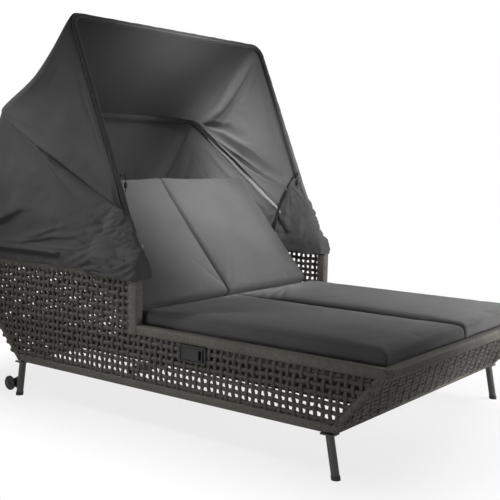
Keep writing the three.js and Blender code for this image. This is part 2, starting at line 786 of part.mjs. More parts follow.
// Wheels stand off the floor beside the head legs, and roll when the foot end is lifted
function wheelPlateOutline() {
  const shape = new THREE.Shape();
  const legFace = (z) => legCentreY('head', z);
  shape.moveTo(legFace(wheelPlateBottom), wheelPlateBottom);
  shape.lineTo(wheelAxleY, wheelAxleZ - axleHeadRadius - axleRadius);
  shape.absarc(wheelAxleY, wheelAxleZ, axleHeadRadius + axleRadius, -Math.PI / 2, Math.PI / 2);
  shape.lineTo(legFace(wheelPlateTop), wheelPlateTop);
  shape.closePath();
  return shape;
}

function buildWheels() {
  const legX = (halfWidth + innerX) / 2;
  const plateIn = -wheelWidth / 2 - wheelSideGap - wheelPlateThickness;
  for (const side of [-1, 1]) {
    const corner = new THREE.Group();
    corner.position.x = side * legX;
    daybed.add(corner);
    const plate = new THREE.ExtrudeGeometry(wheelPlateOutline(), {
      depth: wheelPlateThickness,
      bevelEnabled: false,
      curveSegments: 6,
    });
    plate.applyMatrix4(new THREE.Matrix4().makeBasis(
      new THREE.Vector3(0, 1, 0), new THREE.Vector3(0, 0, 1), new THREE.Vector3(1, 0, 0)));
    const start = side < 0 ? -plateIn - wheelPlateThickness : plateIn;
    plate.translate(start, 0, 0);
    const leg = leaningCylinder(legTubeRadius + clearance, wheelPlateBottom - footCapHeight,
      wheelPlateTop + footCapHeight, 'head');
    const axleIn = side * (plateIn + wheelPlateThickness / 2);
    const axleOut = side * (wheelWidth / 2 + wheelSideGap);
    const axle = rodAlongX(axleRadius, axleIn, axleOut + side * axleHeadThickness / 2,
      wheelAxleY, wheelAxleZ);
    const head = rodAlongX(axleHeadRadius, axleOut, axleOut + side * axleHeadThickness,
      wheelAxleY, wheelAxleZ);
    const beyondLeg = boxBetween(-halfWidth, halfWidth, legCentreY('head', 0) - halfWidth,
      legCentreY('head', wheelAxleZ), 0, halfWidth);
    addPart(`wheel_bracket_${sideName(side)}`, join(cut(plate, leg, beyondLeg), axle, head),
      finish.steel(), corner);
    const wheel = addPart(`wheel_${sideName(side)}`, wheelGeometry(), finish.rubber(), corner);
    wheel.rotation.z = -Math.PI / 2;
    wheel.position.set(0, wheelAxleY, wheelAxleZ);
  }
}

function wheelGeometry() {
  const half = wheelWidth / 2;
  const profile = [
    [wheelBore, -half],
    [wheelHubRadius, -half],
    [wheelHubRadius + wheelDish, -half + wheelDish],
    [wheelRadius - wheelEdge, -half + wheelDish],
    [wheelRadius, -half + wheelDish + wheelEdge],
    [wheelRadius, half - wheelDish - wheelEdge],
    [wheelRadius - wheelEdge, half - wheelDish],
    [wheelHubRadius + wheelDish, half - wheelDish],
    [wheelHubRadius, half],
    [wheelBore, half],
    [wheelBore, -half],
  ].map(([radius, along]) => new THREE.Vector2(radius, along));
  return new THREE.LatheGeometry(profile, roundSides);
}

// Canopy bows: a path is a list of places, walked one place a step
class BentPath extends THREE.Curve {
  constructor(points) {
    super();
    this.points = points;
  }

  getPoint(t, target = new THREE.Vector3()) {
    const last = this.points.length - 1;
    const place = Math.min(Math.max(t, 0), 1) * last;
    const index = Math.min(Math.floor(place), last - 1);
    return target.lerpVectors(this.points[index], this.points[index + 1], place - index);
  }

  getUtoTmapping(u) {
    return u;
  }
}

// Half of a bow, from the lug at the pivot to the middle of the crossbar
function halfBowPoints(length, legStartX, jogs) {
  const points = [new THREE.Vector3(legStartX, lugTubeStart, 0)];
  for (const [along, x] of jogs) points.push(new THREE.Vector3(x, along, 0));
  const centreX = bowHalfWidth - bowCornerRadius;
  const centreY = length - bowCornerRadius;
  for (let step = 0; step <= bowCornerSteps; step += 1) {
    const turn = (step / bowCornerSteps) * (Math.PI / 2);
    points.push(new THREE.Vector3(centreX + bowCornerRadius * Math.cos(turn),
      centreY + bowCornerRadius * Math.sin(turn), 0));
  }
  return points;
}

function bowGeometry(length, legStartX, jogs) {
  const right = halfBowPoints(length, legStartX, jogs);
  const left = right.map((p) => new THREE.Vector3(-p.x, p.y, p.z)).reverse();
  const path = new BentPath([...right, ...left]);
  const section = new THREE.Shape();
  for (let side = 0; side < bowSides; side += 1) {
    const turn = (side / bowSides) * Math.PI * 2;
    const [x, y] = [bowTubeRadius * Math.cos(turn), bowTubeRadius * Math.sin(turn)];
    if (side === 0) section.moveTo(x, y);
    else section.lineTo(x, y);
  }
  section.closePath();
  const tube = new THREE.ExtrudeGeometry(section, {
    steps: path.points.length - 1,
    extrudePath: path,
    bevelEnabled: false,
  });
  const lugs = [];
  const holes = [];
  for (const side of [-1, 1]) {
    const centre = side * legStartX;
    const half = lugThickness / 2;
    lugs.push(rodAlongX(lugRadius, centre - half, centre + half, 0, 0));
    lugs.push(boxBetween(centre - half, centre + half, 0, lugTubeStart + cutOverrun,
      -bowTubeRadius / 2, bowTubeRadius / 2));
    holes.push(rodAlongX(pivotPinRadius + clearance, centre - half - cutOverrun,
      centre + half + cutOverrun, 0, 0));
  }
  return cut(join(tube, ...lugs), ...holes);
}

function buildBows() {
  const canopyPivot = new THREE.Group();
  canopyPivot.position.set(0, pivotY, pivotZ);
  daybed.add(canopyPivot);
  const front = addPart('front_bow', bowGeometry(frontBowLength, bowHalfWidth, []),
    finish.steel(), canopyPivot);
  front.rotation.x = frontBowAngle;
  const jogX = bowHalfWidth - rearBowJog;
  const rear = addPart('rear_bow', bowGeometry(rearBowLength, jogX,
    [[rearJogStart, jogX], [rearJogEnd, bowHalfWidth]]), finish.steel(), canopyPivot);
  rear.rotation.x = rearBowAngle;
  for (const side of [-1, 1]) {
    const discOut = side * (innerX - clearance);
    const discIn = discOut - side * pivotDiscThickness;
    const headOut = side * (jogX - lugThickness / 2 - clearance * 2);
    const headIn = headOut - side * pivotHeadThickness;
    const pivot = join(
      rodAlongX(pivotDiscRadius, discOut, discIn, 0, 0),
      rodAlongX(pivotPinRadius, discIn, headIn, 0, 0),
      rodAlongX(pivotHeadRadius, headOut, headIn, 0, 0),
    );
    addPart(`canopy_pivot_${sideName(side)}`, pivot, finish.steel(), canopyPivot);
  }
}

const evenSteps = (count) => Array.from({ length: count + 1 }, (_, step) => step / count);

// Soft solids: two skins of one grid, closed at the grid's four edges
function sheetSolid(columnShares, rowShares, outerAt, innerAt) {
  const columns = columnShares.length - 1;
  const rows = rowShares.length - 1;
  const count = (columns + 1) * (rows + 1);
  const positions = [];
  for (const skin of [outerAt, innerAt]) {
    for (const rowShare of rowShares) {
      for (const columnShare of columnShares) positions.push(...skin(columnShare, rowShare).toArray());
    }
  }
  const at = (column, row) => row * (columns + 1) + column;
  const index = [];
  const quad = (a, b, c, d) => index.push(a, c, b, a, d, c);
  for (let row = 0; row < rows; row += 1) {
    for (let column = 0; column < columns; column += 1) {
      const [a, b, c, d] = [at(column, row), at(column + 1, row), at(column + 1, row + 1),
        at(column, row + 1)];
      quad(a, b, c, d);
      quad(count + a, count + d, count + c, count + b);
    }
  }
  for (let column = 0; column < columns; column += 1) {
    const [a, b] = [at(column, 0), at(column + 1, 0)];
    quad(a, count + a, count + b, b);
    const [c, d] = [at(column, rows), at(column + 1, rows)];
    quad(c, d, count + d, count + c);
  }
  for (let row = 0; row < rows; row += 1) {
    const [a, b] = [at(0, row), at(0, row + 1)];
    quad(a, b, count + b, count + a);
    const [c, d] = [at(columns, row), at(columns, row + 1)];
    quad(c, count + c, count + d, d);
  }
  const geometry = new THREE.BufferGeometry();
  geometry.setAttribute('position', new THREE.Float32BufferAttribute(positions, 3));
  geometry.setIndex(index);
  geometry.computeVertexNormals();
  return geometry;
}

const mix = (a, b, t) => a + (b - a) * t;

// One place on an arch of cloth that stands on both sides. The first half of the arch is
// its left leg, then the corner, then the top to the middle; the second half mirrors it.
function archPlace(along, footReach, sideX, length) {
  const half = 1 - Math.abs(2 * along - 1);
  const leg = length - bowCornerRadius - footReach;
  const place = { x: -sideX, reach: length, middle: 0, up: 0, down: 0 };
  if (half <= archLegShare) {
    const t = half / archLegShare;
    place.reach = footReach + leg * t;
    place.down = 1 - t;
  } else if (half <= archCornerShare) {
    const turn = ((half - archLegShare) / (archCornerShare - archLegShare)) * (Math.PI / 2);
    place.x = -sideX + bowCornerRadius * (1 - Math.cos(turn));
    place.reach = length - bowCornerRadius * (1 - Math.sin(turn));
    place.up = Math.sin(turn);
  } else {
    place.middle = (half - archCornerShare) / (1 - archCornerShare);
    place.x = -(sideX - bowCornerRadius) * (1 - place.middle);
    place.up = 1;
  }
  if (along > 0.5) place.x = -place.x;
  return place;
}

function archShares() {
  const marks = [
    [0, archLegShare, archLegSteps],
    [archLegShare, archCornerShare, archCornerSteps],
    [archCornerShare, 1, archTopSteps],
  ];
  const halves = marks.flatMap(([from, to, steps]) =>
    Array.from({ length: steps }, (_, step) => mix(from, to, step / steps)));
  const left = [...halves, 1].map((half) => half / 2);
  return [...left, ...left.slice(0, -1).reverse().map((share) => 1 - share)];
}

function pivotPlace(x, reach, angle) {
  return new THREE.Vector3(x, pivotY + reach * Math.cos(angle), pivotZ + reach * Math.sin(angle));
}

// Cloth between two bows: it hangs in a hollow curve between them and folds at the sides
function canopySkin(lift, fromBow, toBow, footReachAt, sideXAt) {
  return (along, across) => {
    const length = mix(fromBow.length, toBow.length, across) + bowTubeRadius + pocketRoom + lift;
    const sideX = sideXAt(across) + lift;
    const place = archPlace(along, footReachAt(across), sideX, length);
    const angle = mix(fromBow.angleAt(place.reach), toBow.angleAt(place.reach), across);
    const hollow = (4 * across * (1 - across)) ** hollowShare;
    const sag = hollow * mix(clothEdgeSag, clothMiddleSag, Math.sin((place.middle * Math.PI) / 2));
    const fold = clothFold * hollow * Math.max(place.down, 0)
      * Math.sin(Math.PI * (place.reach / clothGatherAlong + 2 * foldWaves * across));
    const bulge = Math.sign(place.x) * (fold + clothFold * hollow) * (1 - place.up);
    const reach = place.reach - sag * Math.max(place.up, 1 - place.down);
    return pivotPlace(place.x + bulge, reach, angle);
  };
}

function buildCanopyCloth() {
  const front = { angleAt: () => frontBowAngle, length: frontBowLength };
  const rear = { angleAt: () => rearBowAngle, length: rearBowLength };
  const seam = (clearance + clothThickness) / rearBowLength;
  const rearTop = { angleAt: () => rearBowAngle - seam, length: rearBowLength };
  const footReach = () => clothGatherAlong * clothFootShare;
  const upright = () => clothSideX;
  const roof = sheetSolid(archShares(), clothRowShares,
    canopySkin(clothThickness, rear, front, footReach, upright),
    canopySkin(0, rear, front, footReach, upright));
  addPart('canopy_roof_cloth', roof, finish.canopy());
  const hemHeight = highRimTop + skirtThickness + clearance * 2 - pivotZ;
  const hemLength = headRimY - pivotY - rimWidth / 2 - bowTubeRadius;
  const hem = { angleAt: (reach) => Math.asin(hemHeight / reach), length: hemLength };
  const rearFoot = (across) => clothGatherAlong * mix(1, clothFootShare, across);
  const spread = (across) => mix((halfWidth + innerX) / 2, clothSideX, Math.min(across * 2, 1));
  const rearCloth = sheetSolid(archShares(), clothRowShares,
    canopySkin(clothThickness, hem, rearTop, rearFoot, spread),
    canopySkin(0, hem, rearTop, rearFoot, spread));
  addPart('canopy_back_cloth', rearCloth, finish.canopy());
}

// The skirt lies on the high rim and hangs over its outside, round three sides
function skirtPath(along) {
  const side = headRimY - skirtFrontY;
  const total = 2 * side + 2 * halfWidth;
  const walked = along * total;
  if (walked <= side) return { x: -halfWidth, y: skirtFrontY + walked, nx: -1, ny: 0 };
  if (walked >= total - side) return { x: halfWidth, y: skirtFrontY + total - walked, nx: 1, ny: 0 };
  return { x: walked - side - halfWidth, y: headRimY, nx: 0, ny: 1 };
}

function buildSkirt() {
  const side = headRimY - skirtFrontY;
  const cornerShare = side / (2 * side + 2 * halfWidth);
  const skin = (lift) => (along, up) => {
    const path = skirtPath(along);
    const hangs = clearance * 2 + lift;
    const topZ = highRimTop + clearance + lift;
    const down = 1 - up;
    const onTop = down < skirtTopShare;
    const out = onTop ? mix(rimEdge - rimWidth, hangs, down / skirtTopShare) : hangs;
    const fall = onTop ? 0 : (down - skirtTopShare) / (1 - skirtTopShare);
    const wave = (skirtFold * fall * (1 + Math.cos(along * Math.PI * 2 * skirtWaves))) / 2;
    const fromCorner = Math.min(Math.abs(along - cornerShare), Math.abs(along - 1 + cornerShare));
    const corner = fromCorner < skirtCornerShare;
    const nx = corner ? Math.sign(path.x) : path.nx;
    const ny = corner ? 1 : path.ny;
    return new THREE.Vector3(path.x + nx * (out + wave), path.y + ny * (out + wave),
      mix(topZ, skirtHemZ, fall));
  };
  const sideShares = evenSteps(skirtSideSteps).map((share) => share * cornerShare);
  const headShares = evenSteps(skirtHeadSteps).slice(1, -1)
    .map((share) => mix(cornerShare, 1 - cornerShare, share));
  const farShares = sideShares.map((share) => 1 - share).reverse();
  const skirt = sheetSolid([...sideShares, ...headShares, ...farShares], evenSteps(skirtRows),
    skin(skirtThickness), skin(0));
  addPart('canopy_skirt', skirt, finish.canopy());
}

// Cushions: a crowned block with rounded sides that draw in between the corners
function cushionGeometry(width, length, thickness) {
  const block = new THREE.BoxGeometry(width, length, thickness,
    cushionSteps, cushionSteps, cushionLayers);
  const drawnIn = (edge, along, level) => cushionDrawIn * (1 - along ** 2) * Math.abs(edge) ** drawInPower
    + cushionSideRound * level ** 2 * Math.abs(edge) ** sideRoundPower;
  const place = block.attributes.position;
  for (let i = 0; i < place.count; i += 1) {
    const u = place.getX(i) / (width / 2);
    const v = place.getY(i) / (length / 2);
    const s = place.getZ(i) / (thickness / 2);
    const crown = (1 - u ** 2) * (1 - v ** 2);
    const lift = s > 0 ? cushionCrown * (1 - Math.sqrt(Math.max(crown, 0))) : 0;
    place.setXYZ(i, place.getX(i) - Math.sign(u) * drawnIn(u, v, s),
      place.getY(i) - Math.sign(v) * drawnIn(v, u, s), place.getZ(i) - lift);
  }
  block.computeVertexNormals();
  return block;
}

function buildSeatCushions() {
  const bottom = deckTop + clearance;
  for (const side of [-1, 1]) {
    const cushion = cushionGeometry(cushionHalfWidth - cushionMiddleGap,
      seatCushionHeadY - seatCushionFootY, seatCushionThickness);
    const mesh = addPart(`seat_cushion_${sideName(side)}`, cushion, finish.cushion());
    mesh.position.set(side * (cushionHalfWidth + cushionMiddleGap) / 2,
      (seatCushionFootY + seatCushionHeadY) / 2, bottom + seatCushionThickness / 2);
  }
}

buildRims();
buildStepPosts();
for (const side of [-1, 1]) {
  for (const end of ['foot', 'head']) cornerUpright(side, end);
  buildSideWeave(side);
  buildHandle(side);
}
for (const end of ['foot', 'head']) buildEndWeave(end);
buildDeck();
buildBacks();
buildGasSprings();
buildLegs();
buildWheels();
buildBows();
buildCanopyCloth();
buildSkirt();
buildSeatCushions();

export default daybed;
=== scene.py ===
"""Finish of an outdoor double daybed with a fold-up canopy, built round its CAD frame.

Metres, +Z up, +Y towards the head end, -X is the left side.
"""

import json
import math

import bpy
import bmesh
import numpy as np
from mathutils import Matrix, Vector, noise


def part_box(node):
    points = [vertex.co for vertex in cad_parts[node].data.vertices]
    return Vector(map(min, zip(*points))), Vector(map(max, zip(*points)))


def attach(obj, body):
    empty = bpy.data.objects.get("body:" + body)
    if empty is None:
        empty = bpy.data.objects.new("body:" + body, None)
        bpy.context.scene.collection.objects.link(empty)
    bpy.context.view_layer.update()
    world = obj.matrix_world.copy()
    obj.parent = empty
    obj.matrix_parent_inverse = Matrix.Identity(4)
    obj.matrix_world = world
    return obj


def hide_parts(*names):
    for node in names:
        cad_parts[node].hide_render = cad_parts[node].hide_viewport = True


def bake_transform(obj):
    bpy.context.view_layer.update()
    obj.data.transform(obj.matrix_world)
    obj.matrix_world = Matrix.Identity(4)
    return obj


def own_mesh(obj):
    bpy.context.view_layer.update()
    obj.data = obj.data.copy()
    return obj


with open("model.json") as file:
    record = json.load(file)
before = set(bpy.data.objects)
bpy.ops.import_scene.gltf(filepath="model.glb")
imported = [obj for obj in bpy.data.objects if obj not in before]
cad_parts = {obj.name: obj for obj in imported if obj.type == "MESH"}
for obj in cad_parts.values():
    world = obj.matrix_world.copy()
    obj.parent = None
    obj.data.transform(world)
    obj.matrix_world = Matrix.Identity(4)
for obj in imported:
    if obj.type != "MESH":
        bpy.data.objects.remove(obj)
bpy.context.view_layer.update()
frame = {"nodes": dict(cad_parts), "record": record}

bl_info = {
    "name": "Outdoor Daybed Finish",
    "version": (1, 0, 0),
    "blender": (4, 5, 0),
    "location": "View3D > Sidebar > Daybed",
    "description": "Cords, weave, cushions and canopy cloth of an outdoor daybed",
    "category": "Add Mesh",
}

# Lines of the tub, in metres
HALF_WIDTH = 0.700
FOOT_RIM_Y = -1.120
HEAD_RIM_Y = 1.120
FOOT_RAIL_Y = -0.929
HEAD_RAIL_Y = 0.700
TUB_UNDERSIDE = 0.156
LOW_RIM_TOP = 0.406
HIGH_RIM_TOP = 0.615
RIM_WIDTH = 0.043
RIM_HEIGHT = 0.039
RAIL_HEIGHT = 0.036
POST_Y = -0.019
POST_WIDTH = 0.047
HANDLE_Y = (-0.372, -0.243)
HANDLE_LOW = 0.304

# Hinge line of the backs, and their slope at rest
HINGE_Y = 0.084
HINGE_Z = 0.340
BACK_ANGLE = math.radians(49)

# Canopy: pivot line, bows and their slopes at rest
PIVOT_Y = -0.010
PIVOT_Z = 0.597
BOW_HALF_WIDTH = 0.645
BOW_CORNER = 0.058
REAR_LENGTH = 1.084
FRONT_LENGTH = 1.108
REAR_ANGLE = math.radians(36.8)
FRONT_ANGLE = math.radians(67.4)
LEG_SHARE, CORNER_SHARE = 0.5, 0.58  # where an arch's leg and corner end, from foot to middle
BOW_STEPS = 550
HEM_TURN_Z = 0.655  # where the canopy's cloth turns down over the rims
HEM_Z = 0.599
ROOF_SPAN, ROOF_DEPTH = 3.2, 0.58  # lengths by which the roof cloth's grid is counted off in cells
BACK_SPAN, BACK_DEPTH = 3.3, 0.72  # the same for the back cloth
SEAM_RADIUS = 0.0019
TOGGLE_CORD_RADIUS = 0.0016

# Share of plain white in the floor as seen beneath the daybed, the distance from there to where it is
# all white, and the strength of the world's light
SHADOW_WHITE = 0.80
SHADOW_FADE = 0.6
WORLD_STRENGTH = 0.12

# Where the photograph was taken from
CAMERA_PLACE = (-3.2342, -2.4443, 1.0784)
CAMERA_AZIMUTH = math.radians(-53.37)
CAMERA_HEIGHT = math.radians(6.05)
CAMERA_ROLL = math.radians(1.344)
CAMERA_LENS = 65.85


def size_prop(name, description, default, low, high):
    """A length in metres that a user may change."""
    return bpy.props.FloatProperty(name=name, description=description, default=default,
                                   min=low, max=high, unit="LENGTH", subtype="DISTANCE", precision=4)


def colour_prop(name, description, default):
    """A colour, given as linear red, green and blue."""
    return bpy.props.FloatVectorProperty(name=name, description=description, default=default,
                                         min=0.0, max=1.0, size=3, subtype="COLOR")


class DaybedSizes(bpy.types.PropertyGroup):
    """Sizes of the cords, cushions and cloth."""
    wrap_pitch: size_prop("Wrap pitch", "Distance from one turn of wrapped cord to the next", 0.0058, 0.003, 0.02)
    wrap_depth: size_prop("Wrap depth", "Depth of the groove between two turns", 0.0014, 0.0, 0.005)
    bar_edge: size_prop("Bar edge", "Radius of a wrapped bar's long edges", 0.010, 0.002, 0.018)
    weave_pitch: size_prop("Weave pitch", "Distance from one woven strand to the next", 0.029, 0.015, 0.06)
    strand_radius: size_prop("Strand radius", "Half the width of a woven strand", 0.0082, 0.002, 0.01)
    strand_flat: bpy.props.FloatProperty(name="Strand flatness", description="A strand's thickness against its width",
                                         default=0.62, min=0.2, max=1.0, subtype="FACTOR")
    strand_sway: size_prop("Strand sway", "How far a strand swings over and under the others", 0.0034, 0.0, 0.01)
    strand_wobble: size_prop("Strand wobble", "How far a strand wanders from its line", 0.0030, 0.0, 0.01)
    cushion_cell: size_prop("Cushion cell", "Size of a face on a cushion", 0.008, 0.004, 0.03)
    cushion_swell: size_prop("Cushion swell", "Most that a cushion's cloth may swell", 0.009, 0.0, 0.03)
    cloth_cell: size_prop("Cloth cell", "Size of a face on the canopy cloth", 0.008, 0.004, 0.03)
    cloth_thickness: size_prop("Cloth thickness", "Thickness of the canopy cloth", 0.0016, 0.0005, 0.004)
    sleeve_radius: size_prop("Sleeve radius", "Radius of the cloth sleeves round the bows", 0.0118, 0.0112, 0.02)


class DaybedColours(bpy.types.PropertyGroup):
    """Colours of the finishes."""
    cord: colour_prop("Cord", "Wrapped and woven cord", (0.096, 0.089, 0.075))
    cord_dark: colour_prop("Cord, dark", "Darker fibres of the cord", (0.045, 0.042, 0.035))
    cushion: colour_prop("Cushion", "Cushion cloth", (0.074, 0.074, 0.074))
    canopy: colour_prop("Canopy", "Canopy cloth", (0.092, 0.092, 0.094))
    canopy_light: colour_prop("Canopy, lit through", "Light that the canopy cloth lets through", (0.35, 0.35, 0.35))
    coating: colour_prop("Coating", "Powder coat of legs and frames", (0.042, 0.042, 0.038))
    metal: colour_prop("Bare metal", "Aluminium frames", (0.24, 0.24, 0.23))
    plastic: colour_prop("Plastic", "Release handles", (0.004, 0.005, 0.004))
    rubber: colour_prop("Rubber", "Wheels and foot caps", (0.026, 0.026, 0.024))
    webbing: colour_prop("Webbing", "Straps and toggles", (0.012, 0.012, 0.012))


def sizes():
    return bpy.context.scene.daybed_sizes


def colours():
    return bpy.context.scene.daybed_colours


# Node tools

class Nodes:
    """A node tree with short calls to add and join its nodes."""

    def __init__(self, tree):
        self.tree = tree

    def add(self, kind, inputs=None, **settings):
        node = self.tree.nodes.new(kind)
        for key, value in settings.items():
            setattr(node, key, value)
        for key, value in (inputs or {}).items():
            self.feed(node.inputs[key], value)
        return node

    def feed(self, socket, value):
        if isinstance(value, bpy.types.NodeSocket):
            self.tree.links.new(value, socket)
        elif isinstance(value, bpy.types.Node):
            self.tree.links.new(value.outputs[0], socket)
        else:
            socket.default_value = value

    def math(self, operation, *values):
        return self.add("ShaderNodeMath", dict(enumerate(values)), operation=operation).outputs[0]

    def mix_colour(self, share, low, high):
        node = self.add("ShaderNodeMix", data_type="RGBA")
        self.feed(node.inputs[0], share)
        self.feed(node.inputs[6], low)
        self.feed(node.inputs[7], high)
        return node.outputs[2]

    def ramp(self, value, low, high, out_low=0.0, out_high=1.0):
        return self.add("ShaderNodeMapRange", {0: value, 1: low, 2: high, 3: out_low, 4: out_high}).outputs[0]

    def speckle(self, place, scale, detail, roughness=0.5):
        return self.add("ShaderNodeTexNoise", {"Vector": place, "Scale": scale, "Detail": detail,
                                               "Roughness": roughness}).outputs["Fac"]

    def scaled(self, vector, scale):
        return self.add("ShaderNodeVectorMath", {0: vector, "Scale": scale}, operation="SCALE").outputs[0]

    def seen_directly(self):
        """One for a ray from the camera or a glossy surface, nought for any other."""
        path = self.add("ShaderNodeLightPath")
        return self.math("MAXIMUM", path.outputs["Is Camera Ray"], path.outputs["Is Glossy Ray"])


def tinted(colour, share):
    return tuple(channel * share for channel in colour)


def with_alpha(colour, share=1.0):
    return tinted(colour, share) + (1.0,)


def new_material(name, roughness, **constants):
    """A material with one Principled shader whose constants stand on its own sockets."""
    material = bpy.data.materials.new(name)
    material.use_nodes = True
    nodes = Nodes(material.node_tree)
    shader = material.node_tree.nodes["Principled BSDF"]
    shader.inputs["Roughness"].default_value = roughness
    for label, value in constants.items():
        shader.inputs[label.replace("_", " ")].default_value = value
    return material, nodes, shader


def add_bump(nodes, shader, strength, distance, height):
    bump = nodes.add("ShaderNodeBump", {"Strength": strength, "Distance": distance, "Height": height})
    nodes.feed(shader.inputs["Normal"], bump)


def surface_coordinates(nodes, uv=None):
    """Metres along the cloth from its own map, or in the object's own frame."""
    if uv:
        return nodes.add("ShaderNodeUVMap", uv_map=uv).outputs[0]
    return nodes.add("ShaderNodeTexCoord").outputs["Object"]


def threads(nodes, place, scale, uv):
    """Height of a plain weave: ridges along two axes of a map, or three of the object."""
    axes = "XY" if uv else "XYZ"
    waves = [nodes.add("ShaderNodeTexWave", {"Vector": place, "Scale": scale, "Distortion": 1.5,
                                             "Detail": 1.0, "Detail Scale": 2.0},
                       bands_direction=axis, wave_profile="SIN").outputs["Fac"] for axis in axes]
    height = waves[0]
    for wave in waves[1:]:
        height = nodes.math("ADD", height, wave)
    return nodes.math("DIVIDE", height, float(len(waves)))


def cloth_material(name, colour, uv=None, sheen=0.12, through=None, thread_scale=230.0, speckle=0.45):
    """Plain woven cloth in a heathered colour with painted shade between its threads, and a soft sheen. through lets
    light pass: share and colour.
    """
    material, nodes, shader = new_material(name, 0.92, Sheen_Weight=sheen, Sheen_Roughness=0.45,
                                           Specular_IOR_Level=0.18)
    place = surface_coordinates(nodes, uv)
    weave = threads(nodes, place, thread_scale, uv)
    fleck = nodes.speckle(place, 620.0, 2.0)
    patch = nodes.speckle(place, 5.0, 3.0)
    # the tone is lighter where the weave's threads rise: painted shade in the hollows between threads; fleck and patch
    # are the yarn's own heather
    tone = nodes.math("ADD", nodes.ramp(fleck, 0.3, 0.7, 0.0, speckle), nodes.ramp(weave, 0.0, 1.0, 0.0, 0.3))
    tone = nodes.math("ADD", tone, nodes.ramp(patch, 0.3, 0.7, 0.0, 0.25))
    nodes.feed(shader.inputs["Base Color"], nodes.mix_colour(tone, with_alpha(colour, 0.62), with_alpha(colour, 1.38)))
    nodes.feed(shader.inputs["Roughness"], nodes.ramp(fleck, 0.2, 0.8, 0.82, 0.97))
    height = nodes.math("ADD", nodes.math("MULTIPLY", weave, 0.6), nodes.math("MULTIPLY", fleck, 0.4))
    add_bump(nodes, shader, 0.35, 0.0006, height)
    if through:
        share, tint = through
        lit = nodes.add("ShaderNodeBsdfTranslucent", {"Color": with_alpha(tint)})
        mixed = nodes.add("ShaderNodeMixShader", {0: share, 1: shader.outputs[0], 2: lit.outputs[0]})
        nodes.feed(material.node_tree.nodes["Material Output"].inputs["Surface"], mixed)
    return material


def cord_material(name, colour, dark, fibre_scale, grain):
    """Weathered synthetic cord: fibres along it, lighter worn turns and uneven weathered patches."""
    material, nodes, shader = new_material(name, 0.62, Specular_IOR_Level=0.35)
    place = surface_coordinates(nodes)
    fibre = nodes.speckle(place, fibre_scale, 4.0, 0.65)
    turn = nodes.speckle(place, 95.0, 1.0)
    weather = nodes.speckle(place, 6.0, 5.0)
    tone = nodes.math("ADD", nodes.ramp(fibre, 0.3, 0.7, 0.0, 0.4), nodes.ramp(turn, 0.3, 0.7, 0.0, 0.45))
    tone = nodes.math("ADD", tone, nodes.ramp(weather, 0.3, 0.75, -0.1, 0.3))
    nodes.feed(shader.inputs["Base Color"], nodes.mix_colour(tone, with_alpha(dark), with_alpha(colour, 1.3)))
    nodes.feed(shader.inputs["Roughness"], nodes.ramp(fibre, 0.2, 0.8, 0.5, 0.8))
    add_bump(nodes, shader, grain, 0.0008, fibre)
    return material


def coated_material(name, colour, roughness, metallic=0.0, grain_scale=420.0, wear=0.25):
    """Powder coat, moulded plastic, rubber or dull metal: fine grain, dust and rubbed patches."""
    material, nodes, shader = new_material(name, roughness, Metallic=metallic)
    place = surface_coordinates(nodes)
    grain = nodes.speckle(place, grain_scale, 2.0)
    rubbed = nodes.speckle(place, 14.0, 6.0, 0.7)
    tone = nodes.ramp(rubbed, 0.35, 0.75, 0.0, 1.0)
    nodes.feed(shader.inputs["Base Color"],
               nodes.mix_colour(tone, with_alpha(colour, 1.0 - wear), with_alpha(colour, 1.0 + wear)))
    nodes.feed(shader.inputs["Roughness"], nodes.ramp(rubbed, 0.3, 0.7, roughness - 0.08, roughness + 0.12))
    add_bump(nodes, shader, 0.25, 0.0004, grain)
    return material


MATERIALS = {}


def material(name):
    """The material of that name, made when it is first asked for."""
    if name not in MATERIALS:
        c = colours()
        makers = {
            "wrapped cord": lambda: cord_material(name, c.cord, c.cord_dark, fibre_scale=900.0, grain=0.4),
            "woven cord": lambda: cord_material(name, tinted(c.cord, 0.55), tinted(c.cord_dark, 0.55),
                                                fibre_scale=700.0, grain=0.5),
            "cushion cloth": lambda: cloth_material(name, c.cushion),
            "canopy cloth": lambda: cloth_material(name, c.canopy, uv="cloth", through=(0.42, c.canopy_light)),
            "canopy sleeve": lambda: cloth_material(name, tinted(c.canopy, 0.60)),
            # painted highlight: canopy cloth made 2.3 times lighter, for the light caught along the edge turned over
            # the rear bow
            "painted highlight cloth": lambda: cloth_material(name, tinted(c.canopy, 2.3)),
            "gathered cloth": lambda: cloth_material(name, tinted(c.canopy, 0.60), sheen=0.1),
            "powder coat": lambda: coated_material(name, c.coating, roughness=0.42, metallic=0.3),
            "aluminium": lambda: coated_material(name, c.metal, roughness=0.42, metallic=0.85,
                                                 grain_scale=600.0, wear=0.12),
            "moulded plastic": lambda: coated_material(name, c.plastic, roughness=0.75, grain_scale=900.0, wear=0.3),
            "rubber": lambda: coated_material(name, c.rubber, roughness=0.78, grain_scale=700.0, wear=0.35),
            "seam": lambda: cloth_material(name, tinted(c.canopy, 1.2)),
            "webbing": lambda: cloth_material(name, c.webbing, thread_scale=160.0),
        }
        MATERIALS[name] = makers[name]()
    return MATERIALS[name]


# Geometry nodes: strands and windings

def new_tree(name, inputs):
    """A geometry nodes tree with a geometry socket at each end and the named inputs."""
    tree = bpy.data.node_groups.new(name, "GeometryNodeTree")
    tree.interface.new_socket("Geometry", in_out="INPUT", socket_type="NodeSocketGeometry")
    for label, kind, value in inputs:
        socket = tree.interface.new_socket(label, in_out="INPUT", socket_type=kind)
        if value is not None:
            socket.default_value = value
    tree.interface.new_socket("Geometry", in_out="OUTPUT", socket_type="NodeSocketGeometry")
    nodes = Nodes(tree)
    entry = nodes.add("NodeGroupInput")
    return tree, nodes, {socket.name: socket for socket in entry.outputs if socket.name}


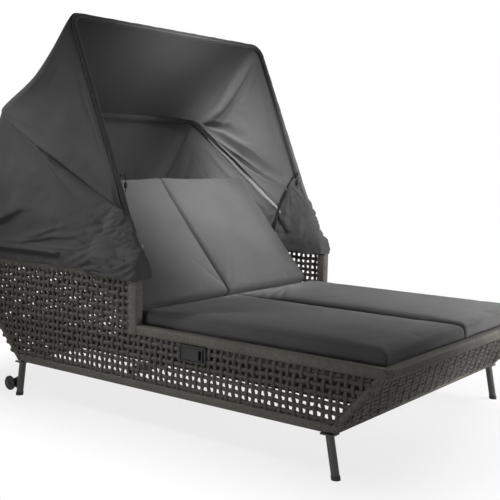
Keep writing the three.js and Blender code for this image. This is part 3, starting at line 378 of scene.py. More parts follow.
def end_tree(nodes, geometry, finish):
    """Closes a tree: plain faces, smooth, with their material."""
    smooth = nodes.add("GeometryNodeSetShadeSmooth", {"Geometry": geometry})
    whole = nodes.add("GeometryNodeRealizeInstances", {"Geometry": smooth})
    painted = nodes.add("GeometryNodeSetMaterial", {"Geometry": whole, "Material": finish})
    exit_node = nodes.add("NodeGroupOutput")
    nodes.feed(exit_node.inputs["Geometry"], painted)


def winding_tree():
    """Cord wound round a bar: the input's lines are the bar's centre lines."""
    tree, nodes, given = new_tree("Cord winding", [
        ("Width", "NodeSocketFloat", 0.043), ("Height", "NodeSocketFloat", 0.039),
        ("Edge", "NodeSocketFloat", 0.01), ("Pitch", "NodeSocketFloat", 0.0058),
        ("Depth", "NodeSocketFloat", 0.0014), ("Finish", "NodeSocketMaterial", None)])
    lines = nodes.add("GeometryNodeMeshToCurve", {"Mesh": given["Geometry"]})
    upright = nodes.add("GeometryNodeSetCurveNormal", {"Curve": lines}, mode="Z_UP")
    step = nodes.math("DIVIDE", given["Pitch"], 4.0)
    fine = nodes.add("GeometryNodeResampleCurve", {"Curve": upright, "Length": step}, mode="LENGTH")
    along = nodes.add("GeometryNodeSplineParameter").outputs["Length"]
    captured = nodes.add("GeometryNodeCaptureAttribute", domain="POINT")
    captured.capture_items.new("FLOAT", "along")
    nodes.feed(captured.inputs[0], fine)
    nodes.feed(captured.inputs["along"], along)
    outline = nodes.add("GeometryNodeCurvePrimitiveQuadrilateral",
                        {"Width": given["Width"], "Height": given["Height"]})
    profile = nodes.add("GeometryNodeFilletCurve", {"Curve": outline, "Count": 3, "Radius": given["Edge"]},
                        mode="POLY")
    bar = nodes.add("GeometryNodeCurveToMesh", {"Curve": captured.outputs[0], "Profile Curve": profile,
                                                "Fill Caps": True})
    wave = nodes.math("MULTIPLY", nodes.math("DIVIDE", captured.outputs["along"], given["Pitch"]), math.pi)
    ridge = nodes.math("ABSOLUTE", nodes.math("SINE", wave))
    lift = nodes.math("MULTIPLY", nodes.math("SUBTRACT", ridge, 1.0), given["Depth"])
    normal = nodes.add("GeometryNodeInputNormal").outputs[0]
    wound = nodes.add("GeometryNodeSetPosition", {"Geometry": bar, "Offset": nodes.scaled(normal, lift)})
    end_tree(nodes, wound, given["Finish"])
    return tree


def strand_tree():
    """Woven strands: the input's lines are the strands, and their "over" says which pass in front."""
    tree, nodes, given = new_tree("Woven strands", [
        ("Radius", "NodeSocketFloat", 0.0082), ("Flatness", "NodeSocketFloat", 0.62),
        ("Sway", "NodeSocketFloat", 0.0034), ("Wobble", "NodeSocketFloat", 0.003),
        ("Face", "NodeSocketVector", (1.0, 0.0, 0.0)), ("Seed", "NodeSocketFloat", 3.0),
        ("Finish", "NodeSocketMaterial", None)])
    over = nodes.add("GeometryNodeInputNamedAttribute", {"Name": "over"}, data_type="FLOAT").outputs[0]
    sway = nodes.scaled(given["Face"], nodes.math("MULTIPLY", over, given["Sway"]))
    place = nodes.add("GeometryNodeInputPosition").outputs[0]
    drift = nodes.add("ShaderNodeTexNoise", {"Vector": place, "W": given["Seed"], "Scale": 17.0,
                                             "Detail": 1.0}, noise_dimensions="4D").outputs["Color"]
    centred = nodes.add("ShaderNodeVectorMath", {0: drift, 1: (0.5, 0.5, 0.5)}, operation="SUBTRACT")
    wander = nodes.scaled(centred, nodes.math("MULTIPLY", given["Wobble"], 4.0))
    offset = nodes.add("ShaderNodeVectorMath", {0: sway, 1: wander}, operation="ADD")
    woven = nodes.add("GeometryNodeSetPosition", {"Geometry": given["Geometry"], "Offset": offset})
    lines = nodes.add("GeometryNodeMeshToCurve", {"Mesh": woven})
    kept = nodes.add("GeometryNodeCaptureAttribute", domain="POINT")
    kept.capture_items.new("VECTOR", "centre")
    nodes.feed(kept.inputs[0], lines)
    nodes.feed(kept.inputs["centre"], nodes.add("GeometryNodeInputPosition"))
    circle = nodes.add("GeometryNodeCurvePrimitiveCircle", {"Resolution": 8, "Radius": given["Radius"]})
    strands = nodes.add("GeometryNodeCurveToMesh", {"Curve": kept.outputs[0], "Profile Curve": circle,
                                                    "Fill Caps": True})
    # each strand is flattened towards the panel's own plane
    surface = nodes.add("GeometryNodeInputPosition").outputs[0]
    out = nodes.add("ShaderNodeVectorMath", {0: surface, 1: kept.outputs["centre"]}, operation="SUBTRACT")
    height = nodes.add("ShaderNodeVectorMath", {0: out, 1: given["Face"]}, operation="DOT_PRODUCT").outputs["Value"]
    press = nodes.scaled(given["Face"], nodes.math("MULTIPLY", height, nodes.math("SUBTRACT", given["Flatness"], 1.0)))
    flat = nodes.add("GeometryNodeSetPosition", {"Geometry": strands, "Offset": press})
    end_tree(nodes, flat, given["Finish"])
    return tree


TREES = {}


def tree_named(name):
    """A geometry nodes tree, made when it is first asked for."""
    if name not in TREES:
        TREES[name] = {"winding": winding_tree, "strands": strand_tree}[name]()
    return TREES[name]


def link_object(name, mesh):
    made = bpy.data.objects.new(name, mesh)
    bpy.context.scene.collection.objects.link(made)
    return made


def finished(name, mesh, finish):
    """An object with that mesh and the material of that name."""
    made = link_object(name, mesh)
    mesh.materials.append(material(finish))
    return made


def smooth_faces(mesh):
    for face in mesh.polygons:
        face.use_smooth = True


def apply_modifiers(made):
    """Puts the object's modifiers into its mesh."""
    graph = bpy.context.evaluated_depsgraph_get()
    plain = bpy.data.meshes.new_from_object(made.evaluated_get(graph))
    made.modifiers.clear()
    old = made.data
    made.data = plain
    bpy.data.meshes.remove(old)


def grown(name, base, tree, values):
    """The plain mesh object that a tree grows on a base mesh."""
    made = link_object(name, base)
    modifier = made.modifiers.new("Grow", "NODES")
    modifier.node_group = tree
    ids = {item.name: item.identifier for item in tree.interface.items_tree
           if getattr(item, "in_out", "") == "INPUT"}
    for label, value in values.items():
        modifier[ids[label]] = value
    bpy.context.view_layer.update()
    apply_modifiers(made)
    made.data.name = name
    return made


def line_mesh(name, lines, over=None):
    """A mesh of loose lines. Each line is (points, closed)."""
    points, edges = [], []
    for line, closed in lines:
        start = len(points)
        points.extend(tuple(p) for p in line)
        edges.extend((start + i, start + i + 1) for i in range(len(line) - 1))
        if closed:
            edges.append((start + len(line) - 1, start))
    mesh = bpy.data.meshes.new(name)
    mesh.from_pydata(points, edges, [])
    if over is not None:
        layer = mesh.attributes.new("over", "FLOAT", "POINT")
        layer.data.foreach_set("value", np.asarray(over, np.float32))
    return mesh


# Wrapped bars

def rounded_path(corners, radius, closed, steps=7):
    """A level path through corners whose bends have one radius."""
    count = len(corners)
    path = []
    for i, corner in enumerate(corners):
        here = np.array(corner, float)
        if not closed and i in (0, count - 1):
            path.append(here)
            continue
        before = np.array(corners[i - 1], float) - here
        after = np.array(corners[(i + 1) % count], float) - here
        before /= np.linalg.norm(before)
        after /= np.linalg.norm(after)
        centre = here + (before + after) * radius
        for step in range(steps + 1):
            turn = step / steps * math.pi / 2
            path.append(centre - after * radius * math.cos(turn) - before * radius * math.sin(turn))
    return path


def wrapped_bar(name, path, closed, width, height, nodes_replaced):
    """Cord wound round one bar or ring of bars."""
    s = sizes()
    made = grown(name, line_mesh(name, [(path, closed)]), tree_named("winding"), {
        "Width": width, "Height": height, "Edge": s.bar_edge, "Pitch": s.wrap_pitch,
        "Depth": s.wrap_depth, "Finish": material("wrapped cord")})
    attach(made, "base")
    if nodes_replaced:
        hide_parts(*nodes_replaced)


# Woven panels

def spans(outline, axis, value):
    """Where a line at that value of one axis lies inside an outline: pairs along the other axis."""
    crossings = []
    for a, b in zip(outline, outline[1:] + outline[:1]):
        if (a[axis] > value) != (b[axis] > value):
            share = (value - a[axis]) / (b[axis] - a[axis])
            crossings.append(a[1 - axis] + share * (b[1 - axis] - a[1 - axis]))
    crossings.sort()
    return list(zip(crossings[::2], crossings[1::2]))


def strand_lines(outline, pitch, steps=4):
    """Flat strands of a plain weave inside an outline, with which side they pass on."""
    low = np.min(outline, axis=0)
    high = np.max(outline, axis=0)
    lines, over = [], []
    for axis in (0, 1):
        count = int(round((high[axis] - low[axis]) / pitch))
        for index in range(count):
            value = low[axis] + (index + 0.5) * pitch
            for start, end in spans(outline, axis, value):
                if end - start < pitch * 0.4:
                    continue
                origin = low[1 - axis]
                first = math.ceil((start - origin) / (pitch / steps))
                last = math.floor((end - origin) / (pitch / steps))
                marks = [start] + [origin + k * pitch / steps for k in range(first, last + 1)] + [end]
                marks = [m for i, m in enumerate(marks) if i == 0 or m - marks[i - 1] > 1e-5]
                line = [(value, m) if axis == 0 else (m, value) for m in marks]
                sign = 1 if (index + axis) % 2 else -1
                over.extend(sign * math.cos(math.pi * ((m - origin) / pitch - 0.5)) for m in marks)
                lines.append(line)
    return lines, over


def woven_panel(name, outline, place, face, node, seed):
    """One woven panel. place turns a point of the flat outline into a point of the frame."""
    s = sizes()
    flat, over = strand_lines(outline, s.weave_pitch)
    lines = [([place(p) for p in line], False) for line in flat]
    made = grown(name, line_mesh(name, lines, over), tree_named("strands"), {
        "Radius": s.strand_radius, "Flatness": s.strand_flat, "Sway": s.strand_sway, "Wobble": s.strand_wobble,
        "Face": face, "Seed": seed, "Finish": material("woven cord")})
    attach(made, "base")
    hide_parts(node)


# Cushions

# Creases at each seat cushion's inner head corner: place from the head edge, reach and depth
SEAT_CREASES = {
    -1: ((0.05, 0.20, 0.003), (0.11, 0.26, 0.002)),
    1: ((0.06, 0.24, 0.007), (0.12, 0.30, 0.009), (0.18, 0.33, 0.007), (0.25, 0.30, 0.004)),
}


def pillow_mesh(name, size, edge, crown, cell):
    """A closed block with a crowned top, rounded edges and sides that draw in between its corners."""
    width, length, thickness = size
    build = bmesh.new()
    bmesh.ops.create_grid(build, x_segments=int(width / cell), y_segments=int(length / cell), size=0.5)
    for vertex in build.verts:
        vertex.co.x = width / 2 * (vertex.co.x + math.sin(vertex.co.x * math.pi) / 2)
        vertex.co.y = length / 2 * (vertex.co.y + math.sin(vertex.co.y * math.pi) / 2)
    shell = bmesh.ops.extrude_face_region(build, geom=list(build.faces))
    for item in shell["geom"]:
        if isinstance(item, bmesh.types.BMVert):
            item.co.z = 1.0
    bmesh.ops.recalc_face_normals(build, faces=build.faces)
    squareness, draw_in = 3.0, 0.006
    middle = thickness * 0.47
    for vertex in build.verts:
        u = vertex.co.x / (width / 2)
        v = vertex.co.y / (length / 2)
        out_x, out_y = (min(1.0, max(0.0, 1 - (1 - abs(share)) * side / 2 / edge))
                        for share, side in ((u, width), (v, length)))
        level = (1 - out_x ** squareness) ** (1 / squareness) * (1 - out_y ** squareness) ** (1 / squareness)
        top = thickness - crown * (1 - (1 - abs(u) ** 3) * (1 - abs(v) ** 3))
        vertex.co.z = middle + (top - middle) * level if vertex.co.z > 0.5 else middle * (1 - level)
        vertex.co.x -= math.copysign(draw_in * (1 - v * v) * abs(u) ** 6, u)
        vertex.co.y -= math.copysign(draw_in * (1 - u * u) * abs(v) ** 6, v)
    mesh = bpy.data.meshes.new(name)
    build.to_mesh(mesh)
    build.free()
    return mesh


def points_of(mesh):
    points = np.empty(len(mesh.vertices) * 3, np.float64)
    mesh.vertices.foreach_get("co", points)
    return points.reshape(-1, 3)


def set_points(mesh, points):
    mesh.vertices.foreach_set("co", np.asarray(points, np.float32).ravel())
    mesh.update()


def swell(made, cell, most, pressure=4.0):
    """Fills a closed cover as foam fills it, and lets no point move further than most."""
    remesh = made.modifiers.new("Even", "REMESH")
    remesh.mode = "VOXEL"
    remesh.voxel_size = cell
    apply_modifiers(made)
    before = points_of(made.data)
    cloth = made.modifiers.new("Cover", "CLOTH")
    cloth.settings.quality = 5
    cloth.settings.mass = 0.3
    cloth.settings.tension_stiffness = 12
    cloth.settings.compression_stiffness = 12
    cloth.settings.bending_stiffness = 0.4
    cloth.settings.use_pressure = True
    cloth.settings.uniform_pressure_force = pressure
    cloth.settings.effector_weights.gravity = 0
    cloth.collision_settings.use_collision = False
    cloth.point_cache.frame_start = 1
    frames = 20
    cloth.point_cache.frame_end = frames
    scene = bpy.context.scene
    for step in range(1, frames + 1):
        scene.frame_set(step)
        bpy.context.view_layer.update()
    apply_modifiers(made)
    scene.frame_set(1)
    after = points_of(made.data)
    moved = after - before
    far = np.linalg.norm(moved, axis=1)
    moved *= np.minimum(1.0, most / np.maximum(far, 1e-9))[:, None]
    set_points(made.data, before + moved)


def cushion_shape(name, size, edge, crown):
    """A cushion lying flat that fills its size, centred on the origin with its underside at zero."""
    s = sizes()
    inset = s.cushion_swell / 2
    inner = [value - 2 * inset for value in size]
    made = link_object(name, pillow_mesh(name, inner, edge, crown, s.cushion_cell))
    swell(made, s.cushion_cell, s.cushion_swell)
    points = points_of(made.data)
    low, high = points.min(axis=0), points.max(axis=0)
    points = (points - (low + high) / 2) / (high - low) * np.array(size)
    points[:, 2] += size[2] / 2
    set_points(made.data, points)
    return made


def mirrored(made, name):
    """A copy of a cushion, mirrored left to right."""
    mesh = made.data.copy()
    points = points_of(mesh)
    points[:, 0] *= -1
    set_points(mesh, points)
    mesh.flip_normals()
    return link_object(name, mesh)


def fit_between(points, low, high):
    """Keeps a soft piece inside its own room."""
    return np.minimum(np.maximum(points, low), high)


def crease(points, start, end, width, depth, direction, fade=0.25):
    """A soft crease along a line: points near it move against direction."""
    start, end, direction = (np.array(v, float) for v in (start, end, direction))
    line = end - start
    length = np.linalg.norm(line)
    line = line / length
    rel = points - start
    along = rel @ line
    off = rel - np.outer(along, line)
    off -= np.outer(off @ direction, direction)
    across = np.linalg.norm(off, axis=1)
    share = np.clip(np.minimum(along, length - along) / (fade * length), 0, 1)
    share = share * share * (3 - 2 * share)
    return points - np.outer(depth * share * np.exp(-(across / width) ** 2), direction)


def finish_cushion(made, body, node):
    """Cloth, smooth faces and one subdivision for a cushion."""
    made.data.materials.clear()
    made.data.materials.append(material("cushion cloth"))
    smooth_faces(made.data)
    finer = made.modifiers.new("Finer", "SUBSURF")
    finer.levels = 1
    finer.render_levels = 1
    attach(made, body)
    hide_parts(node)


# Canopy cloth

def smooth_step(value):
    value = np.clip(value, 0, 1)
    return value * value * (3 - 2 * value)


def bow_place(along, foot, length, side_x):
    """Places along an arch: side x, reach from the pivot, and how far each is leg, corner or top."""
    half = 1 - np.abs(2 * along - 1)
    leg = length - BOW_CORNER - foot
    on_leg = np.clip(half / LEG_SHARE, 0, 1)
    turn = np.clip((half - LEG_SHARE) / (CORNER_SHARE - LEG_SHARE), 0, 1) * math.pi / 2
    middle = np.clip((half - CORNER_SHARE) / (1 - CORNER_SHARE), 0, 1)
    reach = foot + leg * on_leg + BOW_CORNER * np.sin(turn)
    x = side_x - BOW_CORNER * (1 - np.cos(turn)) - (side_x - BOW_CORNER) * middle
    x = np.where(along <= 0.5, -x, x)
    return x, reach, on_leg, np.sin(turn), middle


def pivot_points(x, reach, angle):
    """Points at a reach and a slope from the canopy's pivot line."""
    return np.stack([x, PIVOT_Y + reach * np.cos(angle), PIVOT_Z + reach * np.sin(angle)], axis=-1)


def running_total(lengths):
    """The sum of the lengths up to each point."""
    return np.concatenate([[0], np.cumsum(lengths)])


def walked_lengths(path):
    """How far along a path each of its points lies."""
    return running_total(np.linalg.norm(np.diff(path, axis=0), axis=1))


def tangents(path):
    """The direction of a path at each of its points."""
    ways = np.gradient(path, axis=0)
    return ways / np.linalg.norm(ways, axis=1)[:, None]


def sheet_mesh(name, points):
    """A mesh from a grid of points, with a map in metres along the cloth."""
    rows, columns = points.shape[:2]
    index = np.arange(rows * columns).reshape(rows, columns)
    quads = np.stack([index[:-1, :-1], index[:-1, 1:], index[1:, 1:], index[1:, :-1]], axis=-1).reshape(-1, 4)
    mesh = bpy.data.meshes.new(name)
    mesh.from_pydata(points.reshape(-1, 3).tolist(), [], quads.tolist())
    across = np.linalg.norm(np.diff(points, axis=1), axis=2).mean(axis=0)
    down = np.linalg.norm(np.diff(points, axis=0), axis=2).mean(axis=1)
    grid = np.stack(np.meshgrid(running_total(across), running_total(down)), axis=-1).reshape(-1, 2)
    layer = mesh.uv_layers.new(name="cloth")
    loops = np.empty(len(mesh.loops), np.int32)
    mesh.loops.foreach_get("vertex_index", loops)
    layer.data.foreach_set("uv", grid[loops].astype(np.float32).ravel())
    smooth_faces(mesh)
    return mesh


def ripple(points, scale, amount, seed):
    """Slow unevenness of hung cloth, the same on every run."""
    flat = points.reshape(-1, 3)
    values = np.array([noise.noise(Vector((p[0] * scale + seed, p[1] * scale, p[2] * scale))) for p in flat])
    return (values * amount).reshape(points.shape[:2])


# Folds of the canopy's sides. A crest runs through places (y, z); it has three heights along its
# way, outwards from the daybed, and a run above and below the line. The first row is the left side.
ROOF_FOLDS = (
    (
        (((0.86, 1.243), (0.71, 1.204), (0.58, 1.152), (0.45, 1.100)), (0.004, 0.008, 0.0), 0.035, 0.010),
        (((0.82, 1.214), (0.71, 1.162), (0.58, 1.092), (0.45, 1.032), (0.33, 0.968), (0.22, 0.904), (0.12, 0.862)),
         (0.012, 0.038, 0.024), 0.055, 0.014),
        (((0.82, 1.190), (0.71, 1.133), (0.58, 1.062), (0.45, 1.001), (0.33, 0.939), (0.22, 0.882), (0.12, 0.846)),
         (-0.010, -0.034, -0.018), 0.015, 0.026),
        (((0.46, 0.980), (0.34, 0.915), (0.16, 0.850)), (0.008, 0.010, 0.008), 0.010, 0.024),
        (((0.36, 1.40), (0.317, 1.255), (0.265, 1.155), (0.236, 1.084)), (-0.003, -0.005, -0.001), 0.007, 0.007),
        (((0.39, 1.44), (0.345, 1.300), (0.300, 1.180)), (-0.001, -0.004, -0.001), 0.006, 0.006),
    ),
    (
        (((0.84, 1.262), (0.687, 1.263), (0.60, 1.250)), (-0.004, -0.012, -0.004), 0.030, 0.012),
        (((0.82, 1.240), (0.72, 1.222), (0.60, 1.196), (0.52, 1.160), (0.46, 1.135)),
         (-0.010, -0.026, -0.004), 0.030, 0.010),
        (((0.74, 1.205), (0.59, 1.128), (0.50, 1.085), (0.42, 1.040), (0.33, 0.990), (0.24, 0.945)),
         (-0.014, -0.034, -0.014), 0.030, 0.013),
        (((0.66, 1.125), (0.545, 1.063), (0.43, 1.008), (0.30, 0.944), (0.198, 0.897)),
         (-0.012, -0.028, -0.016), 0.012, 0.011),
        (((0.401, 1.509), (0.386, 1.447), (0.357, 1.354), (0.341, 1.251), (0.327, 1.2), (0.306, 1.123)),
         (0.003, 0.009, 0.002), 0.007, 0.006),
        (((0.43, 1.57), (0.44, 1.48), (0.47, 1.40), (0.50, 1.33)), (0.003, 0.005, 0.001), 0.009, 0.009),
        (((0.47, 1.55), (0.52, 1.45), (0.57, 1.37)), (0.002, 0.004, 0.001), 0.010, 0.010),
        (((0.52, 1.135), (0.45, 1.105), (0.40, 1.080), (0.34, 1.035)), (0.001, 0.004, 0.001), 0.006, 0.006),
    ),
)
BACK_FOLDS = (
    (
        (((0.49, 0.952), (0.40, 0.910), (0.34, 0.888), (0.25, 0.860), (0.155, 0.838)),
         (0.005, 0.012, 0.006), 0.022, 0.008),
        (((0.95, 0.700), (0.85, 0.748), (0.75, 0.785), (0.65, 0.822), (0.55, 0.835)),
         (0.012, 0.014, 0.0), 0.050, 0.013),
        (((0.66, 0.698), (0.55, 0.716), (0.46, 0.748), (0.40, 0.760)), (0.002, 0.006, 0.002), 0.014, 0.007),
        (((0.95, 0.668), (0.85, 0.676), (0.65, 0.680), (0.46, 0.715), (0.34, 0.722)),
         (0.004, 0.008, 0.003), 0.016, 0.007),
        (((0.65, 0.676), (0.52, 0.670), (0.34, 0.672)), (0.001, 0.006, 0.003), 0.010, 0.006),
        (((1.08, 0.655), (0.85, 0.653), (0.72, 0.650), (0.55, 0.651), (0.43, 0.649)),
         (0.014, 0.017, 0.016), 0.017, 0.005),
        (((0.74, 1.02), (0.60, 0.88), (0.50, 0.80)), (0.001, 0.005, 0.001), 0.030, 0.025),
    ),
    (
        (((0.78, 1.10), (0.66, 0.99), (0.50, 0.86), (0.34, 0.76)), (0.004, 0.012, 0.006), 0.018, 0.018),
        (((0.86, 1.05), (0.78, 0.92), (0.66, 0.78)), (0.004, 0.012, 0.004), 0.020, 0.014),
        (((1.08, 0.655), (0.72, 0.650), (0.43, 0.652)), (0.012, 0.014, 0.010), 0.017, 0.006),
        (((0.95, 0.700), (0.75, 0.765), (0.55, 0.790)), (0.008, 0.010, 0.0), 0.040, 0.015),
    ),
)


def crest_lift(y, z, folds):
    """How far a set of folds moves each point of one side."""
    place = np.stack([y.ravel(), z.ravel()], axis=-1)
    lift = np.zeros(len(place))
    for line, heights, above, below in folds:
        corners = np.array(line)
        steps = np.diff(corners, axis=0)
        lengths = np.linalg.norm(steps, axis=1)
        walked = running_total(lengths)
        nearest = np.full(len(place), 1e9)
        off = np.zeros(len(place))
        along = np.zeros(len(place))
        for start, step, length, before in zip(corners, steps, lengths, walked):
            way = step / length
            up = np.array([-way[1], way[0]]) * (1 if way[0] > 0 else -1)
            rel = place - start
            share = np.clip(rel @ way, 0, length)
            gap = np.linalg.norm(rel - share[:, None] * way, axis=1)
            closer = gap < nearest
            nearest = np.where(closer, gap, nearest)
            off = np.where(closer, gap * np.sign(rel @ up), off)
            along = np.where(closer, (before + share) / walked[-1], along)
        run = np.where(off > 0, above, below)
        lift += np.interp(along, (0, 0.5, 1), heights) * np.exp(-(off / run) ** 2)
    return lift.reshape(y.shape)


def bunching(side, y, z):
    """Height of the gathers in the cloth towards the canopy's pivots: long ones, and finer ones across them."""
    strength = smooth_step((0.44 - y) / 0.30) * smooth_step((0.93 - z) / 0.14)
    height = np.zeros(y.size)
    place = zip(np.broadcast_to(side, y.shape).ravel(), y.ravel(), z.ravel())
    for index, ((where, a, b), share) in enumerate(zip(place, strength.ravel())):
        if share > 0.01:
            long_one = 1 - 3.2 * abs(noise.noise(Vector((a * 7, b * 32 + a * 11, where * 5))))
            fine = 1 - 3.2 * abs(noise.noise(Vector((a * 27, b * 33, where * 9))))
            height[index] = share * (0.0060 * long_one + 0.0026 * fine)
    return height.reshape(y.shape)


def leg_gap(y, z, angle):
    """Distance of a point of a side from a bow's leg."""
    return np.abs((z - PIVOT_Z) * math.cos(angle) - (y - PIVOT_Y) * math.sin(angle))


def folded(points, folds, upright):
    """Moves the points of both sides by their folds, and keeps the cloth off the bows."""
    side = np.sign(points[..., 0])
    y, z = points[..., 1], points[..., 2]
    lift = np.where(side < 0, crest_lift(y, z, folds[0]), crest_lift(y, z, folds[1]))
    clear = np.minimum(leg_gap(y, z, REAR_ANGLE), leg_gap(y, z, FRONT_ANGLE))
    clear = smooth_step((clear - 0.004) / 0.022)
    lift = np.where(lift < 0, lift * clear, lift * (0.35 + 0.65 * clear))
    points[..., 0] += side * lift * upright
    return points


def roof_points(cell):
    """The cloth between the two bows: roof and both upper sides."""
    s = sizes()
    columns = int(ROOF_SPAN / cell)
    rows = int(ROOF_DEPTH / cell)
    along, across = np.meshgrid(np.linspace(0, 1, columns + 1), np.linspace(0, 1, rows + 1))
    lift = s.sleeve_radius + 0.001
    length = REAR_LENGTH + (FRONT_LENGTH - REAR_LENGTH) * across + lift
    x, reach, on_leg, up, middle = bow_place(along, foot=0.16, length=length, side_x=BOW_HALF_WIDTH + lift)
    angle = REAR_ANGLE + (FRONT_ANGLE - REAR_ANGLE) * across
    side = np.sign(x)
    far = smooth_step(x / 0.3)
    skewed = across ** (1 - 0.35 * far)
    hollow = (4 * skewed * (1 - skewed)) ** 1.3
    corner_sag = 0.072 + 0.034 * far
    edge_sag = corner_sag * (1 - np.sin(middle * math.pi / 2)) + 0.022 * np.sin(middle * math.pi / 2)
    sag = hollow * edge_sag * np.clip(on_leg ** 3 + up, 0, 1)
    points = pivot_points(x, reach - sag, angle)
    upright = (1 - up) * smooth_step((reach - 0.05) / 0.5)
    # the sides draw in between the bows, more on the side that shows its inside
    inward = hollow * upright * (0.022 + 0.016 * far) * np.clip((length - reach) / 0.12, 0, 1) ** 0.5
    points[..., 0] -= side * inward
    points = folded(points, ROOF_FOLDS, (1 - up) * smooth_step((reach - 0.2) / 0.1))
    points[..., 0] += side * ripple(points, scale=6.0, amount=0.006, seed=1.7) * hollow * (1 - up)
    points[..., 0] += side * ripple(points, scale=21.0, amount=0.0022, seed=6.2) * hollow * (1 - up)
    points[..., 0] += side * bunching(side, points[..., 1], points[..., 2]) * (1 - up)
    points[..., 2] += ripple(points, scale=5.0, amount=0.006, seed=4.1) * hollow * up
    return points


def back_points(cell):
    """The cloth behind the rear bow: back panel, side fans, and the hem over the high rims."""
    s = sizes()
    columns = int(BACK_SPAN / cell)
    rows = int(BACK_DEPTH / cell)
    along, down = np.meshgrid(np.linspace(0, 1, columns + 1), np.linspace(0, 1, rows + 1))
    lift = s.sleeve_radius + 0.001
    side_x = BOW_HALF_WIDTH + lift
    x, reach, _, up, middle = bow_place(along, foot=0.10, length=REAR_LENGTH + lift, side_x=side_x)
    side = np.sign(x)
    bow = pivot_points(x, reach, REAR_ANGLE + 0 * reach)
    # the hem runs round the outside of the rims
    hang = 0.0055
    hem_side = HALF_WIDTH + hang
    hem_head = HEAD_RIM_Y + hang
    hem_start = 0.04
    half = 1 - np.abs(2 * along - 1)
    turn = np.clip((half - LEG_SHARE) / (CORNER_SHARE - LEG_SHARE), 0, 1) * math.pi / 2
    hem_y = np.where(half <= LEG_SHARE, hem_start + (hem_head - BOW_CORNER - hem_start) * half / LEG_SHARE,
                     hem_head - BOW_CORNER + BOW_CORNER * np.sin(turn))
    hem_x = hem_side - BOW_CORNER * (1 - np.cos(turn)) - (hem_side - BOW_CORNER) * middle
    hem_x = np.where(along <= 0.5, -hem_x, hem_x)
    rim = np.stack([hem_x, hem_y, np.full_like(hem_y, HEM_TURN_Z)], axis=-1)
    hem = np.stack([hem_x, hem_y, np.full_like(hem_y, HEM_Z)], axis=-1)
    knee = 0.87
    upper = np.clip(down / knee, 0, 1)[..., None]
    lower = np.clip((down - knee) / (1 - knee), 0, 1)[..., None]
    points = bow + (rim - bow) * upper + (hem - rim) * lower
    share = upper[..., 0]
    bulge = np.sin(share * math.pi)
    length = np.linalg.norm(rim - bow, axis=-1)
    slack = np.clip(length / 0.35, 0, 1)
    upright = 1 - up
    hem_share = lower[..., 0]
    # the sides swell out over the rim, and the back panel draws in
    points[..., 0] += side * 0.014 * bulge ** 2 * slack * (1 - hem_share) * upright
    head = up * (1 - hem_share)
    points[..., 1] -= head * 0.030 * bulge
    points = folded(points, BACK_FOLDS, upright * (1 - 0.4 * hem_share))
    # a gathered seam runs down the back panel from each corner of the rear bow
    seam = 0.43 + (points[..., 2] - HEM_TURN_Z) * 0.37
    off = np.abs(points[..., 0]) - seam
    pleat = np.where(off < 0, np.exp(-(off / 0.050) ** 2), np.exp(-(off / 0.012) ** 2))
    points[..., 1] -= head * 0.018 * pleat * bulge ** 0.5
    points[..., 1] += head * 0.004 * np.sin(points[..., 0] * 9) * share
    waves = (ripple(points, scale=7.0, amount=0.010, seed=8.3) * bulge
             + ripple(points, scale=23.0, amount=0.003, seed=2.6) * bulge)
    gathers = bunching(side, points[..., 1], points[..., 2])
    points[..., 0] += side * (waves + gathers) * upright
    points[..., 1] += waves * head
    hem_wave = hem_share * (0.0025 * np.sin(hem_y * 31 + side * 2)
                            + 0.002 * np.sin(hem_y * 77 + points[..., 0] * 12))
    points[..., 0] += side * np.abs(hem_wave) * upright
    points[..., 2] += hem_wave
    return points


# The gathered cloth round the bows' feet, left side first: its front and rear edge, as places (y, z)
# from the tie down to the hem
GATHER_FRONT = (
    ((0.118, 0.868), (0.092, 0.846), (0.052, 0.800), (0.030, 0.745), (0.018, 0.710), (-0.004, 0.690),
     (-0.020, 0.640), (-0.031, 0.610), (-0.030, 0.582)),
    ((0.150, 0.965), (0.088, 0.862), (0.036, 0.780), (0.008, 0.705), (-0.018, 0.640), (-0.031, 0.610),
     (-0.030, 0.582)),
)
GATHER_REAR = (
    ((0.142, 0.862), (0.190, 0.820), (0.260, 0.760), (0.310, 0.700), (0.338, 0.650), (0.340, 0.615), (0.300, 0.583)),
    ((0.205, 0.890), (0.262, 0.800), (0.305, 0.720), (0.330, 0.660), (0.325, 0.610), (0.305, 0.582)),
)


def along_line(line, share):
    """Places at shares of a line's length."""
    corners = np.array(line)
    walked = walked_lengths(corners)
    return np.stack([np.interp(share * walked[-1], walked, corners[:, axis]) for axis in (0, 1)], axis=-1)


def side_cloth_x(side, y, z):
    """How far out the cloth of one side hangs low on the side, with its folds and gathers."""
    leg_z = PIVOT_Z + (y - PIVOT_Y) * math.tan(REAR_ANGLE)
    drop = leg_z - HEM_TURN_Z
    share = np.clip((leg_z - z) / np.maximum(drop, 0.03), 0, 1)
    share = np.maximum(share, smooth_step((0.70 - z) / 0.06))
    slack = np.clip(drop / 0.35, 0, 1)
    out = BOW_HALF_WIDTH + 0.015 + 0.0465 * share + 0.014 * np.sin(share * math.pi) ** 2 * slack
    folds = BACK_FOLDS[0 if side < 0 else 1]
    return out + crest_lift(y, z, folds) + 0.65 * bunching(side, y, z)


def gather_inside_x(y, z):
    """How far in the gathered cloth may reach: over the bows' feet, but clear of the back cushion."""
    cushion_y = 0.005 + 0.869 * (z - 0.409)
    free = smooth_step((cushion_y - 0.02 - y) / 0.05)
    reach = np.hypot(y - PIVOT_Y, z - PIVOT_Z)
    over_feet = 0.600 + 0.016 * smooth_step((reach - 0.15) / 0.08)
    return 0.6345 + (over_feet - 0.6345) * free


